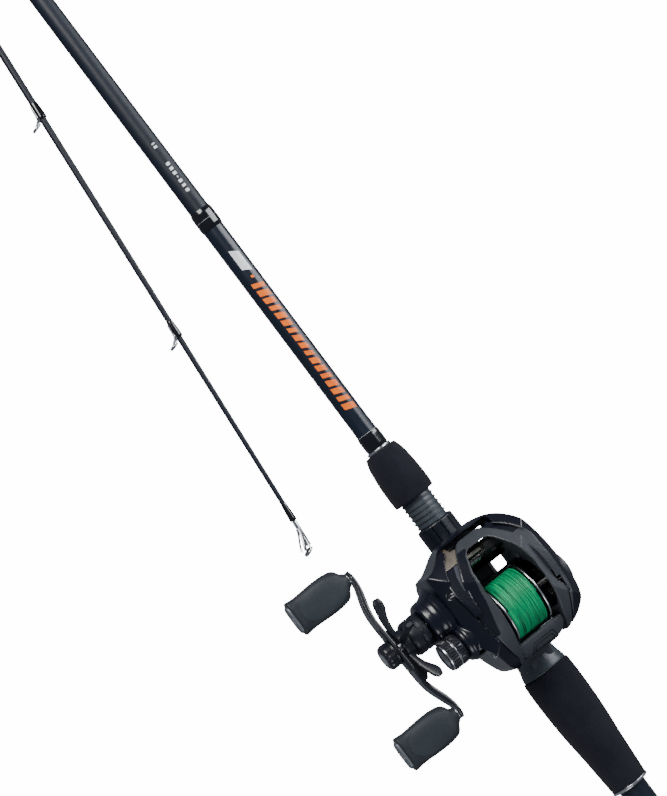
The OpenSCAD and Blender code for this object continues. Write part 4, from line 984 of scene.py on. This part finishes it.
knob("knob_front", 1, "knob_front", "knob_front", "knob_cap_front")
knob("knob_rear", -1, "knob_rear", "knob_rear", "knob_cap_rear")

# star drag
hub = revolve("star_hub", rounded([(43.8, 5.3), (43.8, 9.8), (45.2, 10.0), (47.4, 10.0), (47.8, 9.5), (48.4, 9.5), (48.8, 10.0), (52.6, 9.8), (54.0, 9.0), (54.4, 7.6), (54.4, 3.2)], 0.4, 3), M["star"], "y", 128, (DX, 0, DZ))
put(hub, "star", ["star_drag"])
put(revolve("star_neck", rounded([(54.3, 3.2), (54.3, 8.0), (58.8, 8.0), (59.6, 7.2), (59.6, 3.2)], 0.4, 3), M["star"], "y", 96, (DX, 0, DZ)), "star", ["star_drag"])
for i in range(5):
    tr = Matrix.Translation((DX, 0, DZ)) @ Matrix.Rotation(rad(72 * i), 4, "Y")
    path = [(5.5, 58.0), (10, 58.0), (13, 57.8), (16, 57.4), (19, 56.6), (22, 55.6), (24.6, 55.1), (27.2, 54.8)]
    sizes = [(1.5, 1.7), (1.5, 1.8), (1.45, 1.9), (1.4, 2.1), (1.4, 2.5), (1.4, 2.95), (1.35, 2.85), (1.0, 1.7)]
    arm_i = loft(f"star_arm_{i}", shift_rings(path, sizes, 2.8), M["star"], transform=tr, sharp=55)
    put(arm_i, "star", ["star_drag"])

# tension knob: knurled, with two bright rings
def knurl(a, r, ang):
    return (0.22 * np.sign(np.cos(ang * 30)) * np.clip(abs(np.cos(ang * 30)) * 2, 0, 1) - 0.1) if (37.6 < a < 40.4 or 42.2 < a < 45.6) and r > 7.9 else np.zeros_like(ang)


tk = [(36.4, 6.2), (36.4, 7.5), (37.2, 8.1), (37.5, 8.15), (37.7, 8.15), (40.3, 8.15), (40.5, 8.1), (41.0, 7.8), (41.9, 7.8), (42.1, 8.0), (42.3, 8.05), (45.5, 8.0), (45.7, 7.9), (46.6, 7.5), (47.1, 6.8), (47.1, 5.0), (46.5, 4.6), (46.5, 0)]
put(revolve("tension_knob_body", tk, M["arm"], "y", 360, (0, 0, SZ), bumps=knurl, sharp=38), "tension_knob", ["tension_knob"])
for k, (a, b, r) in enumerate([(41.0, 41.8, 8.15), (46.1, 46.8, 7.75)]):
    put(revolve(f"tension_knob_ring_{k}", rounded([(a, r - 0.8), (a, r), (b, r - (0.2 if k else 0)), (b, r - 0.9)], 0.2, 3), M["silver"], "y", 128, (0, 0, SZ)), "tension_knob", ["tension_knob"])

# ------------------------------------------------------------------ guides
def ring_mesh(name, R, r_in, th, mat, tr, body, node):
    prof = rounded([(-th / 2, r_in), (-th / 2, R), (th / 2, R), (th / 2, r_in)], th * 0.3, 4, True)
    put(revolve(name, prof, mat, "x", 64, transform=tr, loop=True, sharp=60), body, [node])


def liner(name, R, tr, body, node, w=0.45):
    t = np.linspace(0, 2 * math.pi, 17)[:-1]
    prof = [(0.85 * math.cos(a), R - 0.85 - w * 0.45 + w * math.sin(a)) for a in t]
    put(revolve(name, prof, M["ceramic"], "x", 64, transform=tr, loop=True, sharp=80), body, [node])


def guide(prefix, R, h, r, lean, base, body, frames_node, rings_node, double=False):
    tr = base @ Matrix.Translation((0, 0, h)) @ Matrix.Rotation(rad(lean), 4, "Y")
    ring_mesh(prefix + "_ring", R, R - 0.8, 1.2 if double else 1.5, M["chrome"], tr, body, frames_node)
    liner(prefix + "_liner", R, tr, body, rings_node)
    lean_dx = math.sin(rad(lean))
    for d in ((1, -1) if double else (1,)):
        for s in (-1, 1):
            low = h - R * 0.5
            if double:
                px = [(d * 17, s * 0.25, r + 0.25), (d * 12, s * 0.45, r + 0.45), (d * 7, s * R * 0.35, lerp(r, low, 0.35)), (d * 2.5 - lean_dx * 0.5, s * R * 0.72, lerp(r, low, 0.8)), (0.2 + lean_dx * (-R * 0.3), s * R * 0.93, h - R * 0.25)]
            else:
                px = [(11, s * 0.3, r + 0.1), (5.2, s * 0.5, r + 0.3), (3.4, s * R * 0.45, lerp(r, h - R, 0.7)), (1.7, s * R * 0.85, h - R * 0.55), (0.15, s * R * 0.97, h - R * 0.1)]
            put(sweep(f"{prefix}_leg_{'f' if d > 0 else 'b'}{'l' if s < 0 else 'r'}", spline(px, 8), 0.75 if double else 0.58, M["chrome"], seg=12, transform=base), body, [frames_node])
        foot = [(18, 0, r - 0.02), (14, 0, r + 0.15), (9, 0, r + 0.35)] if double else [(11.5, 0, r - 0.05), (8, 0, r + 0.15), (4.6, 0, r + 0.3), (1.6, 0, h - R + 0.1)]
        foot = [(d * q[0], q[1], q[2]) for q in foot]
        put(sweep(f"{prefix}_foot_{'f' if d > 0 else 'b'}", spline(foot, 6), 1.15 if double else 0.8, M["chrome"], seg=14, transform=base, flat=0.55, up_axis=(0, 0, 1)), body, [frames_node])


for k, (g, R, h) in enumerate([(530, 8, 17), (800, 6.2, 14)]):
    guide(f"butt_guide_{k}", R, h, blank_r(g), -6, Matrix.Translation((g, 0, 0)), "rod", "butt_guide_frames", "butt_guide_rings", True)

def tip_wrap(name, xa, xb, r_end, e, node="tip_wraps"):
    """Thread over a guide's foot: highest at the guide, tapering away from it."""
    n = max(8, int((xb - xa) / 0.3))
    pts = [(xa, tip_r(xa) * 0.85), (xa, tip_r(xa) + e * 0.55)]
    for i in range(n + 1):
        t = i / n
        rise = min(1, 0.6 + t * 4) * min(1, max(0.0, 1 - t) * 1.12) ** 0.75
        x = lerp(xa, xb, t)
        pts.append((x, tip_r(x) + 0.06 + e * rise + (0.03 if i % 2 else 0)))
    pts.append((xb, tip_r(xb) * 0.85))
    put(revolve(name, pts, M["wrap"], seg=64, transform=T_TIP, sharp=60), "tip_section", [node])


SH = -1.7
put(revolve("tip_blank_skin", [(0.7 + SH, 0), (0.7 + SH, 0.9), (13.5, 0.95), (16, 1.2)] + [(d, tip_r(d)) for d in np.linspace(20, TIP - 0.5, 120)] + [(TIP, 4.0), (TIP + 0.4, 3.6), (TIP + 64, 3.6), (TIP + 64.9, 3.4), (TIP + 64.9, 2.6), (TIP - 20, 2.6), (TIP - 20, 0)], M["blank_matte"], seg=64, transform=T_TIP), "tip_section", ["tip_blank"])
tip_wrap("wrap_tip_top", 15.6 + SH, 26.2 + SH, 1.14, 0.55)
wrap("wrap_tip_base", TIP - 40, TIP - 16, 4.12, 0.3, "tip_wraps", "tip_section", T_TIP)
for k, (g, R, h) in enumerate([(125, 2.8, 5.0), (259, 3.0, 5.5), (412, 3.2, 6.2), (585, 3.7, 7.6), (780, 4.3, 9.2), (1000, 5, 11)]):
    base_m = T_TIP @ Matrix.Translation((g - 1.6, 0, 0)) @ Matrix.Rotation(rad(-84), 4, "X")
    guide(f"tip_guide_{k}", R, h, tip_r(g), -24, base_m, "tip_section", "tip_guide_frames", "tip_guide_rings")
    tip_wrap(f"wrap_tip_{k}", g + 1.2, g + 10.8, tip_r(g + 2), 0.75)
TT = T_TIP @ Matrix.Rotation(rad(-75), 4, "X")
put(revolve("tip_tube", rounded([(0.7 + SH, 0.9), (0.7 + SH, 1.3), (15.4 + SH, 1.3), (15.4 + SH, 0.9)], 0.2, 3), M["chrome"], seg=48, transform=TT), "tip_section", ["tip_top"])
tr = TT @ Matrix.Translation((-1.9 + SH, 0, 2.2)) @ Matrix.Rotation(rad(-31), 4, "Y")
ring_mesh("tip_ring", 3.1, 2.2, 1.3, M["chrome"], tr, "tip_section", "tip_top")
t = np.linspace(0, 2 * math.pi, 17)[:-1]
put(revolve("tip_ring_liner", [(0.7 * math.cos(a), 1.98 + 0.33 * math.sin(a)) for a in t], M["ceramic"], "x", 64, transform=tr, loop=True, sharp=80), "tip_section", ["tip_top_ring"])
for s in (-1, 1):
    put(sweep(f"tip_wire_{'l' if s < 0 else 'r'}", spline([(11 + SH, s * 0.7, 1.0), (8 + SH, s * 1.2, 1.5), (4.2 + SH, s * 1.9, 3.0), (1.2 + SH, s * 2.2, 4.1), (-0.6 + SH, s * 1.9, 4.6)], 8), 0.55, M["chrome"], seg=10, transform=TT), "tip_section", ["tip_top"])
    put(sweep(f"tip_strut_{'l' if s < 0 else 'r'}", spline([(6 + SH, s * 1.0, 0.6), (2 + SH, s * 1.8, 0.9), (-1.4 + SH, s * 2.7, 1.6)], 8), 0.5, M["chrome"], seg=10, transform=TT), "tip_section", ["tip_top"])

# ------------------------------------------------------------------ finishes on the frame's own pieces
keep = {
    "rod_bright": ["guide_rod"],
    "steel": ["spool_bearings", "anti_reverse_bearing", "yoke_posts", "yoke_springs", "spool_shaft", "clutch_yoke", "clutch_plate", "drive_shaft", "ratchet_wheel", "bearing_sleeve", "knob_posts", "worm_shaft", "side_plate_screws"],
    "satin": ["brake_dial"],
    "dark": ["worm_shield", "line_guide_carriage", "magnet_holder", "brake_magnets"],
    "ceramic": ["line_eyelet"],
    "brass": ["main_gear", "pinion_gear", "level_wind_pawl"],
    "nylon": ["level_wind_drive_gear", "worm_gear"],
    "drag": ["drag_washers"],
}
for key, names in keep.items():
    for n in names:
        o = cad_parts[n]
        for s in o.material_slots:
            s.material = M[key]
        if not o.material_slots:
            o.data.materials.append(M[key])
for n in ("line_guide_carriage", "brake_dial", "worm_shield"):
    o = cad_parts[n]
    b = o.modifiers.new("edge", "BEVEL")
    b.width = 0.35 * MM
    b.segments = 3
    b.limit_method = "ANGLE"
    b.angle_limit = rad(30)
